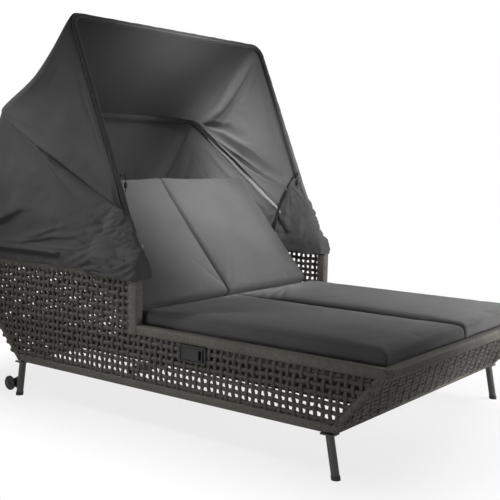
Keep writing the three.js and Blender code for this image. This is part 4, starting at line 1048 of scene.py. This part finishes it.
def creases(y, z, tie, seed):
    """Creases that radiate from the tie and crumple further down, between -1 and 1."""
    values = []
    for a, b in zip(y, z):
        turn = math.atan2(b - tie[1], a - tie[0])
        far = math.hypot(b - tie[1], a - tie[0])
        ray = 1 - 2.6 * abs(noise.noise(Vector((turn * 3.2, far * 7, seed))))
        crumple = 1 - 2.6 * abs(noise.noise(Vector((a * 24, b * 21, seed + 9))))
        share = min(1.0, far / 0.22)
        values.append(ray * (1 - 0.6 * share) + 0.9 * crumple * share)
    return np.array(values)


def gather_rings(side, rows=100, around=120):
    """Closed rings of the gathered cloth, from the tie down to its hem."""
    share = np.linspace(0, 1, rows)
    index = 0 if side < 0 else 1
    front = along_line(GATHER_FRONT[index], share)
    rear = along_line(GATHER_REAR[index], share)
    tie = (front[0] + rear[0]) / 2
    share = share[:, None]
    turns = np.arange(around)[None, :] / around * 2 * math.pi
    # the section is an ellipse at the tie and almost a box round the end of the rim
    box = smooth_step((share - 0.60) / 0.25)
    power = 0.80 - 0.50 * box
    across = np.sign(np.cos(turns)) * np.abs(np.cos(turns)) ** power
    out = np.sin(turns) + 0 * share
    middle, reach = (front + rear) / 2, (rear - front) / 2
    y = middle[:, :1] + across * reach[:, :1]
    z = middle[:, 1:] + across * reach[:, 1:]
    tied = smooth_step(share / 0.15)
    proud = 0.0075 * tied * smooth_step(1 - across) - 0.004
    outer = side_cloth_x(side, y, z) + proud
    rough = creases(y.ravel(), z.ravel(), tie, 3.0 + side).reshape(y.shape)
    inner = gather_inside_x(y, z) + 0.004 * (1 + rough) * tied
    full = np.where(across < 0, np.abs(out) ** power, np.abs(out) ** 1.3)
    core = 0.654
    x = core + (np.where(out > 0, outer, inner) - core) * full
    # a ragged front edge, and an uneven hem
    edge = np.clip(-across, 0, 1) ** 3 * tied
    torn = np.array([noise.noise(Vector((level * 13, side * 4, 0.3)))
                     + 0.6 * noise.noise(Vector((level * 41, side, 7.1))) for level in share[:, 0]])[:, None]
    y = y + edge * (0.008 * torn + 0.0015 * rough)
    z = z + 0.004 * np.sin(y * 47 + side * 2) * smooth_step((share - 0.85) / 0.15)
    return np.stack([side * x, y, z], axis=-1)


def cloth_piece(name, points, nodes_replaced):
    """Canopy cloth from its grid of points, with a little thickness."""
    made = finished(name, sheet_mesh(name, points), "canopy cloth")
    shell = made.modifiers.new("Thickness", "SOLIDIFY")
    shell.thickness = sizes().cloth_thickness
    shell.offset = 0.0
    apply_modifiers(made)
    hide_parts(*nodes_replaced)
    return made


def tube_points(path, radius, sides=14, flat=1.0):
    """Rings of a tube along a path of points, as a grid."""
    path = np.asarray(path, float)
    across = np.array([1.0, 0.0, 0.0])
    rings = []
    for place, way in zip(path, tangents(path)):
        across = across - way * (across @ way)
        if np.linalg.norm(across) < 1e-3:
            across = np.array([0.0, 1.0, 0.0]) - way * way[1]
        across /= np.linalg.norm(across)
        third = np.cross(way, across)
        turns = np.arange(sides) / sides * 2 * math.pi
        rings.append(place + radius * (np.outer(np.cos(turns), across) + flat * np.outer(np.sin(turns), third)))
    return np.array(rings)


def tube_mesh(name, rings):
    """A closed tube from its rings, with a cap at each end."""
    count, sides = rings.shape[:2]
    points = rings.reshape(-1, 3).tolist() + [rings[0].mean(axis=0).tolist(), rings[-1].mean(axis=0).tolist()]
    faces = []
    for ring in range(count - 1):
        for side in range(sides):
            a, b = ring * sides + side, ring * sides + (side + 1) % sides
            faces.append((a, b, b + sides, a + sides))
    first, last = count * sides, count * sides + 1
    for side in range(sides):
        after = (side + 1) % sides
        faces.append((first, after, side))
        faces.append((last, (count - 1) * sides + side, (count - 1) * sides + after))
    mesh = bpy.data.meshes.new(name)
    mesh.from_pydata(points, [], faces)
    build = bmesh.new()
    build.from_mesh(mesh)
    bmesh.ops.recalc_face_normals(build, faces=build.faces)
    build.to_mesh(mesh)
    build.free()
    smooth_faces(mesh)
    return mesh


def bow_path(length, angle, foot):
    """Centre line of a bow from one foot to the other, with its ends left out."""
    along = np.linspace(0, 1, BOW_STEPS)
    x, reach, _, _, _ = bow_place(along, foot, length, BOW_HALF_WIDTH)
    return pivot_points(x, reach, angle + 0 * reach)


def sleeve(name, length, angle, foot, body, radius, flat):
    """The cloth pocket that a bow runs through, with small puckers along its seam."""
    path = bow_path(length, angle, foot)
    rings = tube_points(path, radius, flat=flat)
    centre = path[:, None, :]
    walked = walked_lengths(path)
    pucker = 0.04 * np.sin(walked * 210)[:, None] * np.sin(np.arange(rings.shape[1]) * 1.9)[None, :]
    pucker += 0.05 * np.sin(walked * 37)[:, None] + 0.04 * np.sin(walked * 83 + 1)[:, None]
    rings = centre + (rings - centre) * (1 + pucker[..., None] * 0.6 * flat)
    made = finished(name, tube_mesh(name, rings), "canopy sleeve")
    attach(made, body)


def bow_seam(name, length, angle, foot, body):
    """The stitched edge along the front of a bow's pocket."""
    path = bow_path(length, angle, foot)
    ahead = np.array([0, -math.sin(angle), math.cos(angle)])
    inward = path * np.array([-1.0, 0, 0])
    inward /= np.maximum(np.abs(inward).max(axis=1), 1e-6)[:, None]
    on_leg = smooth_step((np.abs(path[:, 0]) - (BOW_HALF_WIDTH - BOW_CORNER)) / BOW_CORNER)[:, None]
    down = np.array([0, -math.cos(angle), -math.sin(angle)])
    place = path + sizes().sleeve_radius * (0.80 * ahead + 0.62 * (inward * on_leg + down * (1 - on_leg)))
    made = finished(name, tube_mesh(name, tube_points(place, SEAM_RADIUS, sides=6)), "seam")
    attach(made, body)


def painted_highlight_edge(name, side):
    """The back cloth's edge where it turns over a leg of the rear bow, painted far lighter than the cloth: a painted
    highlight of the light caught and let through at the edge.
    """
    reach = np.linspace(0.21, 0.93, 90)
    share = (reach - reach[0]) / (reach[-1] - reach[0])
    path = pivot_points(side * (BOW_HALF_WIDTH - 0.013 + 0 * reach), reach, REAR_ANGLE + 0 * reach)
    path += np.outer(0.003 + 0.0015 * np.sin(share * 23), (0, math.sin(REAR_ANGLE), -math.cos(REAR_ANGLE)))
    thick = 0.0060 * np.sqrt(np.clip(1 - share ** 2.0, 0, 1)) * np.clip(share / 0.35, 0.15, 1) + 0.0010
    rings = tube_points(path, 1.0, sides=12, flat=1.9)
    rings = path[:, None, :] + (rings - path[:, None, :]) * thick[:, None, None]
    # painted highlight: the edge is much lighter than the canopy cloth
    made = finished(name, tube_mesh(name, rings), "painted highlight cloth")
    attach(made, "rear_bow_body")


def strap_mesh(name, path, width, thickness, across):
    """A flat strap along a path, with its width along one direction."""
    path = np.asarray(path, float)
    across = np.array(across, float) / np.linalg.norm(across)
    up = np.cross(tangents(path), across)
    up /= np.linalg.norm(up, axis=1)[:, None]
    corners = [(-0.5, -0.5), (-0.35, -0.62), (0.35, -0.62), (0.5, -0.5),
               (0.5, 0.5), (0.35, 0.62), (-0.35, 0.62), (-0.5, 0.5)]
    rings = np.stack([path + a * width * across + b * thickness * up for a, b in corners], axis=1)
    return tube_mesh(name, rings)


# The strap inside each side, from the front bow down to the rim
STRAP_LINE = np.array([(0.633, 0.140, 0.985), (0.629, 0.165, 0.950), (0.627, 0.204, 0.894), (0.627, 0.235, 0.838),
                       (0.628, 0.258, 0.770), (0.629, 0.273, 0.704), (0.635, 0.280, 0.650)])


def ring_points(centre, radius, wire, steps=28, sides=8):
    """Rings of a wire bent to a closed circle that faces along X."""
    turns = np.linspace(0, 2 * math.pi, steps, endpoint=False)
    path = np.array([centre + radius * np.array([0.35 * math.cos(t), math.cos(t), math.sin(t)]) for t in turns])
    closed = np.concatenate([path, path[:1]])
    return tube_points(closed, wire, sides=sides)


def toggle(name, side):
    """A moulded cord toggle on the front bow, hanging on a short cord."""
    reach = 0.385
    top = pivot_points(np.array(side * 0.614), np.array(reach), FRONT_ANGLE) + np.array([0, -0.012, 0])
    profile = ((0.0, 0.0020), (0.001, 0.0050), (0.004, 0.0066), (0.012, 0.0058), (0.020, 0.0066), (0.024, 0.0048),
               (0.025, 0.0015))
    turns = np.arange(14) / 14 * 2 * math.pi
    rings = np.array([[(top[0] + radius * math.cos(t), top[1] + radius * math.sin(t), top[2] - drop)
                       for t in turns] for drop, radius in profile])
    made = finished(name, tube_mesh(name, rings), "moulded plastic")
    cord = np.array([top + np.array([0, 0.010, 0.030]), top + np.array([0, 0.004, 0.022]),
                     top + np.array([0, 0, 0.010]), top + np.array([0, 0, -0.040])])
    cord_name = f"{name}_cord"
    line = finished(cord_name, tube_mesh(cord_name, tube_points(cord, TOGGLE_CORD_RADIUS, sides=8)), "webbing")
    for piece in (made, line):
        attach(piece, "front_bow_body")


# Operators

class DAYBED_OT_frame_finish(bpy.types.Operator):
    """Gives the CAD pieces that stay in sight their finishes"""
    bl_idname = "daybed.frame_finish"
    bl_label = "Frame finishes"

    def execute(self, context):
        finish_of = {"dark_steel": "powder coat", "aluminium_frame": "aluminium", "rubber": "rubber",
                     "dark_plastic": "moulded plastic", "wrapped_cord": "wrapped cord",
                     "woven_cord": "woven cord", "canopy_fabric": "canopy sleeve",
                     "cushion_fabric": "cushion cloth"}
        slots = {row["node"]: row["material_slot"] for row in frame["record"]["subparts"]}
        for name, node in frame["nodes"].items():
            node.data.materials.clear()
            node.data.materials.append(material(finish_of[slots[name]]))
        return {"FINISHED"}


class DAYBED_OT_wrapped_bars(bpy.types.Operator):
    """Winds cord round the rails, rims and step posts"""
    bl_idname = "daybed.wrapped_bars"
    bl_label = "Wrapped bars"

    def execute(self, context):
        half = RIM_WIDTH / 2
        x = HALF_WIDTH - half
        bend = half + 0.003
        z = TUB_UNDERSIDE + RAIL_HEIGHT / 2
        ring = [(-x, FOOT_RAIL_Y + half, z), (x, FOOT_RAIL_Y + half, z),
                (x, HEAD_RAIL_Y - half, z), (-x, HEAD_RAIL_Y - half, z)]
        wrapped_bar("bottom_rail_wrap", rounded_path(ring, bend, True), True, RIM_WIDTH, RAIL_HEIGHT,
                    ["bottom_rail_left", "bottom_rail_right", "bottom_rail_foot", "bottom_rail_head"])
        z = LOW_RIM_TOP - RIM_HEIGHT / 2
        low = [(-x, POST_Y - 0.001, z), (-x, FOOT_RIM_Y + half, z), (x, FOOT_RIM_Y + half, z), (x, POST_Y - 0.001, z)]
        wrapped_bar("low_rim_wrap", rounded_path(low, bend, False), False, RIM_WIDTH, RIM_HEIGHT,
                    ["low_rim_left", "low_rim_right", "low_rim_foot"])
        z = HIGH_RIM_TOP - RIM_HEIGHT / 2
        high = [(-x, POST_Y, z), (-x, HEAD_RIM_Y - half, z), (x, HEAD_RIM_Y - half, z), (x, POST_Y, z)]
        wrapped_bar("high_rim_wrap", rounded_path(high, bend, False), False, RIM_WIDTH, RIM_HEIGHT,
                    ["high_rim_left", "high_rim_right", "high_rim_head"])
        for name, side in (("left", -1), ("right", 1)):
            y = POST_Y + POST_WIDTH / 2
            post = [(side * x, y, LOW_RIM_TOP - RIM_HEIGHT), (side * x, y, HIGH_RIM_TOP - RIM_HEIGHT)]
            wrapped_bar(f"step_post_wrap_{name}", post, False, RIM_WIDTH, POST_WIDTH, [f"step_post_{name}"])
            for end, inward, rail_y, rim_y, top in (("foot", 1, FOOT_RAIL_Y, FOOT_RIM_Y, LOW_RIM_TOP),
                                                    ("head", -1, HEAD_RAIL_Y, HEAD_RIM_Y, HIGH_RIM_TOP)):
                bar = 0.027
                set_in = inward * bar * 0.75
                corner_x = side * (HALF_WIDTH - bar / 2 - 0.002)
                corner = [(corner_x, rail_y + set_in, TUB_UNDERSIDE + 0.01), (corner_x, rim_y + set_in, top - 0.01)]
                wrapped_bar(f"corner_wrap_{end}_{name}", corner, False, bar, bar, [])
        return {"FINISHED"}


class DAYBED_OT_woven_panels(bpy.types.Operator):
    """Weaves the four walls of the tub"""
    bl_idname = "daybed.woven_panels"
    bl_label = "Woven walls"

    def execute(self, context):
        tuck = 0.006  # how far the strands run into the rims and rails
        lap = 0.002  # and how far past the edges of the handle's place
        low = TUB_UNDERSIDE + RAIL_HEIGHT - tuck
        low_top = LOW_RIM_TOP - RIM_HEIGHT + tuck
        high_top = HIGH_RIM_TOP - RIM_HEIGHT + tuck
        foot_slope = (FOOT_RIM_Y - FOOT_RAIL_Y) / (LOW_RIM_TOP - TUB_UNDERSIDE)
        head_slope = (HEAD_RIM_Y - HEAD_RAIL_Y) / (HIGH_RIM_TOP - TUB_UNDERSIDE)

        def foot_y(z):
            return FOOT_RAIL_Y + foot_slope * (z - TUB_UNDERSIDE) + tuck

        def head_y(z):
            return HEAD_RAIL_Y + head_slope * (z - TUB_UNDERSIDE) - tuck

        post = POST_Y + POST_WIDTH / 2
        side = [(foot_y(low), low), (head_y(low), low), (head_y(high_top), high_top), (post, high_top),
                (post, low_top), (HANDLE_Y[1] - lap, low_top), (HANDLE_Y[1] - lap, HANDLE_LOW + lap),
                (HANDLE_Y[0] + lap, HANDLE_LOW + lap), (HANDLE_Y[0] + lap, low_top),
                (foot_y(low_top), low_top)]
        x = HALF_WIDTH - 0.0085
        woven_panel("side_weave_left", side, lambda p: (-x, p[0], p[1]), (-1.0, 0.0, 0.0), "weave_left", 2.0)
        woven_panel("side_weave_right", side, lambda p: (x, p[0], p[1]), (1.0, 0.0, 0.0), "weave_right", 5.0)
        for end, slope_y, top, seed in (("foot", foot_y, low_top, 7.0), ("head", head_y, high_top, 9.0)):
            start = np.array([slope_y(low), low])
            finish = np.array([slope_y(top), top])
            length = float(np.linalg.norm(finish - start))
            way = (finish - start) / length
            outer = 1 if end == "head" else -1
            outward = (0.0, float(outer * way[1]), float(-outer * way[0]))
            reach = HALF_WIDTH - 0.016
            flat = [(-reach, 0.0), (reach, 0.0), (reach, length), (-reach, length)]
            woven_panel(f"{end}_weave", flat,
                        lambda p: (p[0], start[0] + way[0] * p[1], start[1] + way[1] * p[1]),
                        outward, f"weave_{end}", seed)
        return {"FINISHED"}


class DAYBED_OT_seat_cushions(bpy.types.Operator):
    """Makes the two seat cushions"""
    bl_idname = "daybed.seat_cushions"
    bl_label = "Seat cushions"

    def execute(self, context):
        low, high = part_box("seat_cushion_right")
        left = cushion_shape("seat_pad_left", tuple(high - low), edge=0.024, crown=0.007)
        for made, side in ((left, -1), (mirrored(left, "seat_pad_right"), 1)):
            low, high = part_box("seat_cushion_left" if side < 0 else "seat_cushion_right")
            points = points_of(made.data) + np.array([(low.x + high.x) / 2, (low.y + high.y) / 2, low.z])
            inner = side * 0.001
            up = (0, 0, 1)
            for along, reach, depth in SEAT_CREASES[side]:
                start = (inner + side * 0.004, high.y - along, high.z)
                end = (inner + side * reach, high.y - along * 0.3 - 0.02, high.z)
                points = crease(points, start, end, width=0.011, depth=depth, direction=up)
            set_points(made.data, fit_between(points, np.array(low), np.array(high)))
            finish_cushion(made, "base", "seat_cushion_left" if side < 0 else "seat_cushion_right")
        return {"FINISHED"}


class DAYBED_OT_back_cushions(bpy.types.Operator):
    """Makes the two back cushions"""
    bl_idname = "daybed.back_cushions"
    bl_label = "Back cushions"

    def execute(self, context):
        # a back's own frame: along it from the hinge, out from it, and across from the middle
        start, end = 0.076, 0.740
        under, face = 0.0123, 0.105
        half, gap = 0.632, 0.001
        turn = Matrix.Translation((0, HINGE_Y, HINGE_Z)) @ Matrix.Rotation(BACK_ANGLE, 4, "X")
        left = cushion_shape("back_pad_left", (half - gap, end - start, face - under), edge=0.022, crown=0.005)
        for made, side in ((left, -1), (mirrored(left, "back_pad_right"), 1)):
            points = points_of(made.data) + np.array([side * (half + gap) / 2, (start + end) / 2, under])
            for reach, depth in ((0.10, 0.003), (0.17, 0.002)):
                points = crease(points, (side * 0.006, start + 0.01, face),
                                (side * reach, start + reach * 1.3, face), width=0.012, depth=depth,
                                direction=(0, 0, 1))
            box_x = sorted((side * gap, side * half))
            set_points(made.data, fit_between(points, (box_x[0], start, under), (box_x[1], end, face)))
            made.data.transform(turn)
            where = "left" if side < 0 else "right"
            finish_cushion(made, f"backrest_{where}_body", f"back_cushion_{where}")
        return {"FINISHED"}


class DAYBED_OT_canopy_cloth(bpy.types.Operator):
    """Makes the canopy's roof and back cloth"""
    bl_idname = "daybed.canopy_cloth"
    bl_label = "Canopy cloth"

    def execute(self, context):
        cell = sizes().cloth_cell
        roof = cloth_piece("canopy_roof", roof_points(cell), ["canopy_roof_cloth"])
        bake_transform(roof)
        back = cloth_piece("canopy_back", back_points(cell), ["canopy_back_cloth", "canopy_skirt"])
        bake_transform(back)
        return {"FINISHED"}


class DAYBED_OT_canopy_trim(bpy.types.Operator):
    """Makes the sleeves round the bows, the straps and the toggles"""
    bl_idname = "daybed.canopy_trim"
    bl_label = "Canopy sleeves and straps"

    def execute(self, context):
        radius = sizes().sleeve_radius
        foot, seam_foot = 0.10, 0.30
        sleeve("front_bow_sleeve", FRONT_LENGTH, FRONT_ANGLE, foot, "front_bow_body", radius, flat=1.14)
        sleeve("rear_bow_sleeve", REAR_LENGTH, REAR_ANGLE, foot, "rear_bow_body", radius, flat=1.45)
        bow_seam("front_bow_seam", FRONT_LENGTH, FRONT_ANGLE, seam_foot, "front_bow_body")
        for name, side in (("left", -1), ("right", 1)):
            gathered = finished(f"gathered_cloth_{name}", tube_mesh("gather", gather_rings(side)), "gathered cloth")
            line = STRAP_LINE * np.array([side, 1, 1])
            strap = finished(f"canopy_strap_{name}",
                             strap_mesh("strap", line, width=0.017, thickness=0.002, across=(0.0, 0.8, 0.6)), "webbing")
            round_ring = ring_points(np.array([side * 0.640, 0.010, 0.706]), radius=0.008, wire=0.0018)
            ring = finished(f"canopy_ring_{name}", tube_mesh("ring", round_ring), "aluminium")
            for made in (gathered, strap, ring):
                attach(made, "base")
                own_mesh(made)
            painted_highlight_edge(f"painted_highlight_edge_{name}", side)
            toggle(f"canopy_toggle_{name}", side)
        return {"FINISHED"}


class DAYBED_OT_stage(bpy.types.Operator):
    """Sets the camera, the floor and the lamps"""
    bl_idname = "daybed.stage"
    bl_label = "Stage"

    def execute(self, context):
        scene = context.scene
        back = Vector((math.sin(CAMERA_AZIMUTH) * math.cos(CAMERA_HEIGHT),
                       -math.cos(CAMERA_AZIMUTH) * math.cos(CAMERA_HEIGHT), math.sin(CAMERA_HEIGHT)))
        level = Vector((0, 0, 1)).cross(back).normalized()
        upward = back.cross(level)
        right = level * math.cos(CAMERA_ROLL) + upward * math.sin(CAMERA_ROLL)
        above = upward * math.cos(CAMERA_ROLL) - level * math.sin(CAMERA_ROLL)
        lens = bpy.data.cameras.new("camera")
        lens.lens = CAMERA_LENS
        lens.sensor_width = 36.0
        lens.clip_end = 200.0
        camera = bpy.data.objects.new("camera", lens)
        scene.collection.objects.link(camera)
        turned = Matrix((right, above, back)).transposed().to_4x4()
        camera.matrix_world = Matrix.Translation(CAMERA_PLACE) @ turned
        scene.camera = camera
        build_floor()
        build_light()
        scene.view_settings.view_transform = "Standard"
        return {"FINISHED"}


def build_floor():
    """A pale floor, white away from the daybed, that keeps a soft shadow under it."""
    mesh = bpy.data.meshes.new("floor")
    far = 60.0
    mesh.from_pydata([(-far, -far, 0), (far, -far, 0), (far, far, 0), (-far, far, 0)], [], [(0, 1, 2, 3)])
    floor = link_object("floor", mesh)
    paint, nodes, shader = new_material("pale floor", 0.95, Specular_IOR_Level=0.0)
    shader.inputs["Base Color"].default_value = (0.86, 0.86, 0.86, 1)
    white = nodes.add("ShaderNodeEmission", {"Color": (1, 1, 1, 1), "Strength": 1.0})
    seen = nodes.seen_directly()
    place = nodes.add("ShaderNodeSeparateXYZ", {0: nodes.add("ShaderNodeTexCoord").outputs["Object"]})
    past = [nodes.math("MAXIMUM", nodes.math("SUBTRACT", nodes.math("ABSOLUTE", place.outputs[axis]), reach), 0.0)
            for axis, reach in ((0, HALF_WIDTH - 0.15), (1, 0.95))]
    distance = nodes.math("SQRT", nodes.math("ADD", nodes.math("POWER", past[0], 2.0),
                                             nodes.math("POWER", past[1], 2.0)))
    away = nodes.add("ShaderNodeMapRange", {0: distance, 1: 0.0, 2: SHADOW_FADE, 3: SHADOW_WHITE, 4: 1.0},
                     interpolation_type="SMOOTHSTEP").outputs[0]
    mixed = nodes.add("ShaderNodeMixShader", {0: nodes.math("MULTIPLY", seen, away), 1: shader.outputs[0],
                                              2: white.outputs[0]})
    nodes.feed(paint.node_tree.nodes["Material Output"].inputs["Surface"], mixed)
    mesh.materials.append(paint)


# Studio lamps: name, place, what it points at, size, power and spread in degrees
LAMPS = (
    ("far foot lamp", (1.10, -1.25, 0.90), (0.45, -0.80, 0.45), 0.5, 10.0, 180),
    ("far cloth lamp", (1.55, 0.62, 2.55), (0.68, 0.52, 1.10), 0.25, 9.5, 26),
    ("far front lamp", (2.10, -2.40, 1.20), (0.35, 0.35, 0.95), 0.7, 2.6, 50),
    ("high front lamp", (-1.00, -1.60, 3.20), (0.16, 0.46, 0.86), 0.3, 4.1, 24),
    ("front lamp", (-1.60, -3.20, 1.90), (0.66, 0.24, 0.90), 0.5, 2.4, 15),
    ("low front lamp", (-0.40, -2.40, 0.70), (0.05, 0.20, 1.62), 0.4, 1.5, 18),
    ("foot lamp", (0.80, -3.60, 0.80), (0.30, -1.05, 0.28), 0.5, 2.4, 24),
    ("near lamp", (-3.40, -0.60, 0.30), (-0.60, -0.20, 0.35), 0.9, 5.0, 70),
    ("near cloth lamp", (-1.70, 1.90, 2.50), (-0.66, 0.52, 0.96), 0.4, 2.2, 30),
)


def build_light():
    """Soft studio light: a pale world that is white to the camera, and the lamps of the table above."""
    world = bpy.data.worlds.new("studio")
    world.use_nodes = True
    bpy.context.scene.world = world
    nodes = Nodes(world.node_tree)
    seen = nodes.seen_directly()
    plain = nodes.add("ShaderNodeBackground", {"Color": (1, 1, 1, 1), "Strength": WORLD_STRENGTH})
    white = nodes.add("ShaderNodeBackground", {"Color": (1, 1, 1, 1), "Strength": 1.0})
    mixed = nodes.add("ShaderNodeMixShader", {0: seen, 1: plain.outputs[0], 2: white.outputs[0]})
    nodes.feed(world.node_tree.nodes["World Output"].inputs["Surface"], mixed)
    for name, place, aim, size, power, spread in LAMPS:
        lamp = bpy.data.lights.new(name, "AREA")
        lamp.spread = math.radians(spread)
        lamp.size = size
        lamp.energy = power
        holder = bpy.data.objects.new(name, lamp)
        bpy.context.scene.collection.objects.link(holder)
        holder.location = place
        holder.rotation_euler = (Vector(aim) - Vector(place)).to_track_quat("-Z", "Y").to_euler()
        holder.visible_camera = False


class DAYBED_PT_panel(bpy.types.Panel):
    """Lists the daybed's pieces"""
    bl_label = "Daybed"
    bl_idname = "DAYBED_PT_panel"
    bl_space_type = "VIEW_3D"
    bl_region_type = "UI"
    bl_category = "Daybed"

    def draw(self, context):
        column = self.layout.column()
        for group in (context.scene.daybed_sizes, context.scene.daybed_colours):
            for name in type(group).__annotations__:
                column.prop(group, name)
        for operator in OPERATORS:
            column.operator(operator.bl_idname)


OPERATORS = (DAYBED_OT_stage, DAYBED_OT_frame_finish, DAYBED_OT_wrapped_bars, DAYBED_OT_woven_panels,
             DAYBED_OT_seat_cushions, DAYBED_OT_back_cushions, DAYBED_OT_canopy_cloth, DAYBED_OT_canopy_trim)
CLASSES = (DaybedSizes, DaybedColours) + OPERATORS + (DAYBED_PT_panel,)


def register():
    for item in CLASSES:
        bpy.utils.register_class(item)
    bpy.types.Scene.daybed_sizes = bpy.props.PointerProperty(type=DaybedSizes)
    bpy.types.Scene.daybed_colours = bpy.props.PointerProperty(type=DaybedColours)


def unregister():
    del bpy.types.Scene.daybed_colours
    del bpy.types.Scene.daybed_sizes
    for item in reversed(CLASSES):
        bpy.utils.unregister_class(item)


def main():
    """Builds every piece in order."""
    register()
    for operator in OPERATORS:
        group, call = operator.bl_idname.split(".")
        getattr(getattr(bpy.ops, group), call)()
    bpy.context.view_layer.update()


if __name__ == "__main__":
    main()
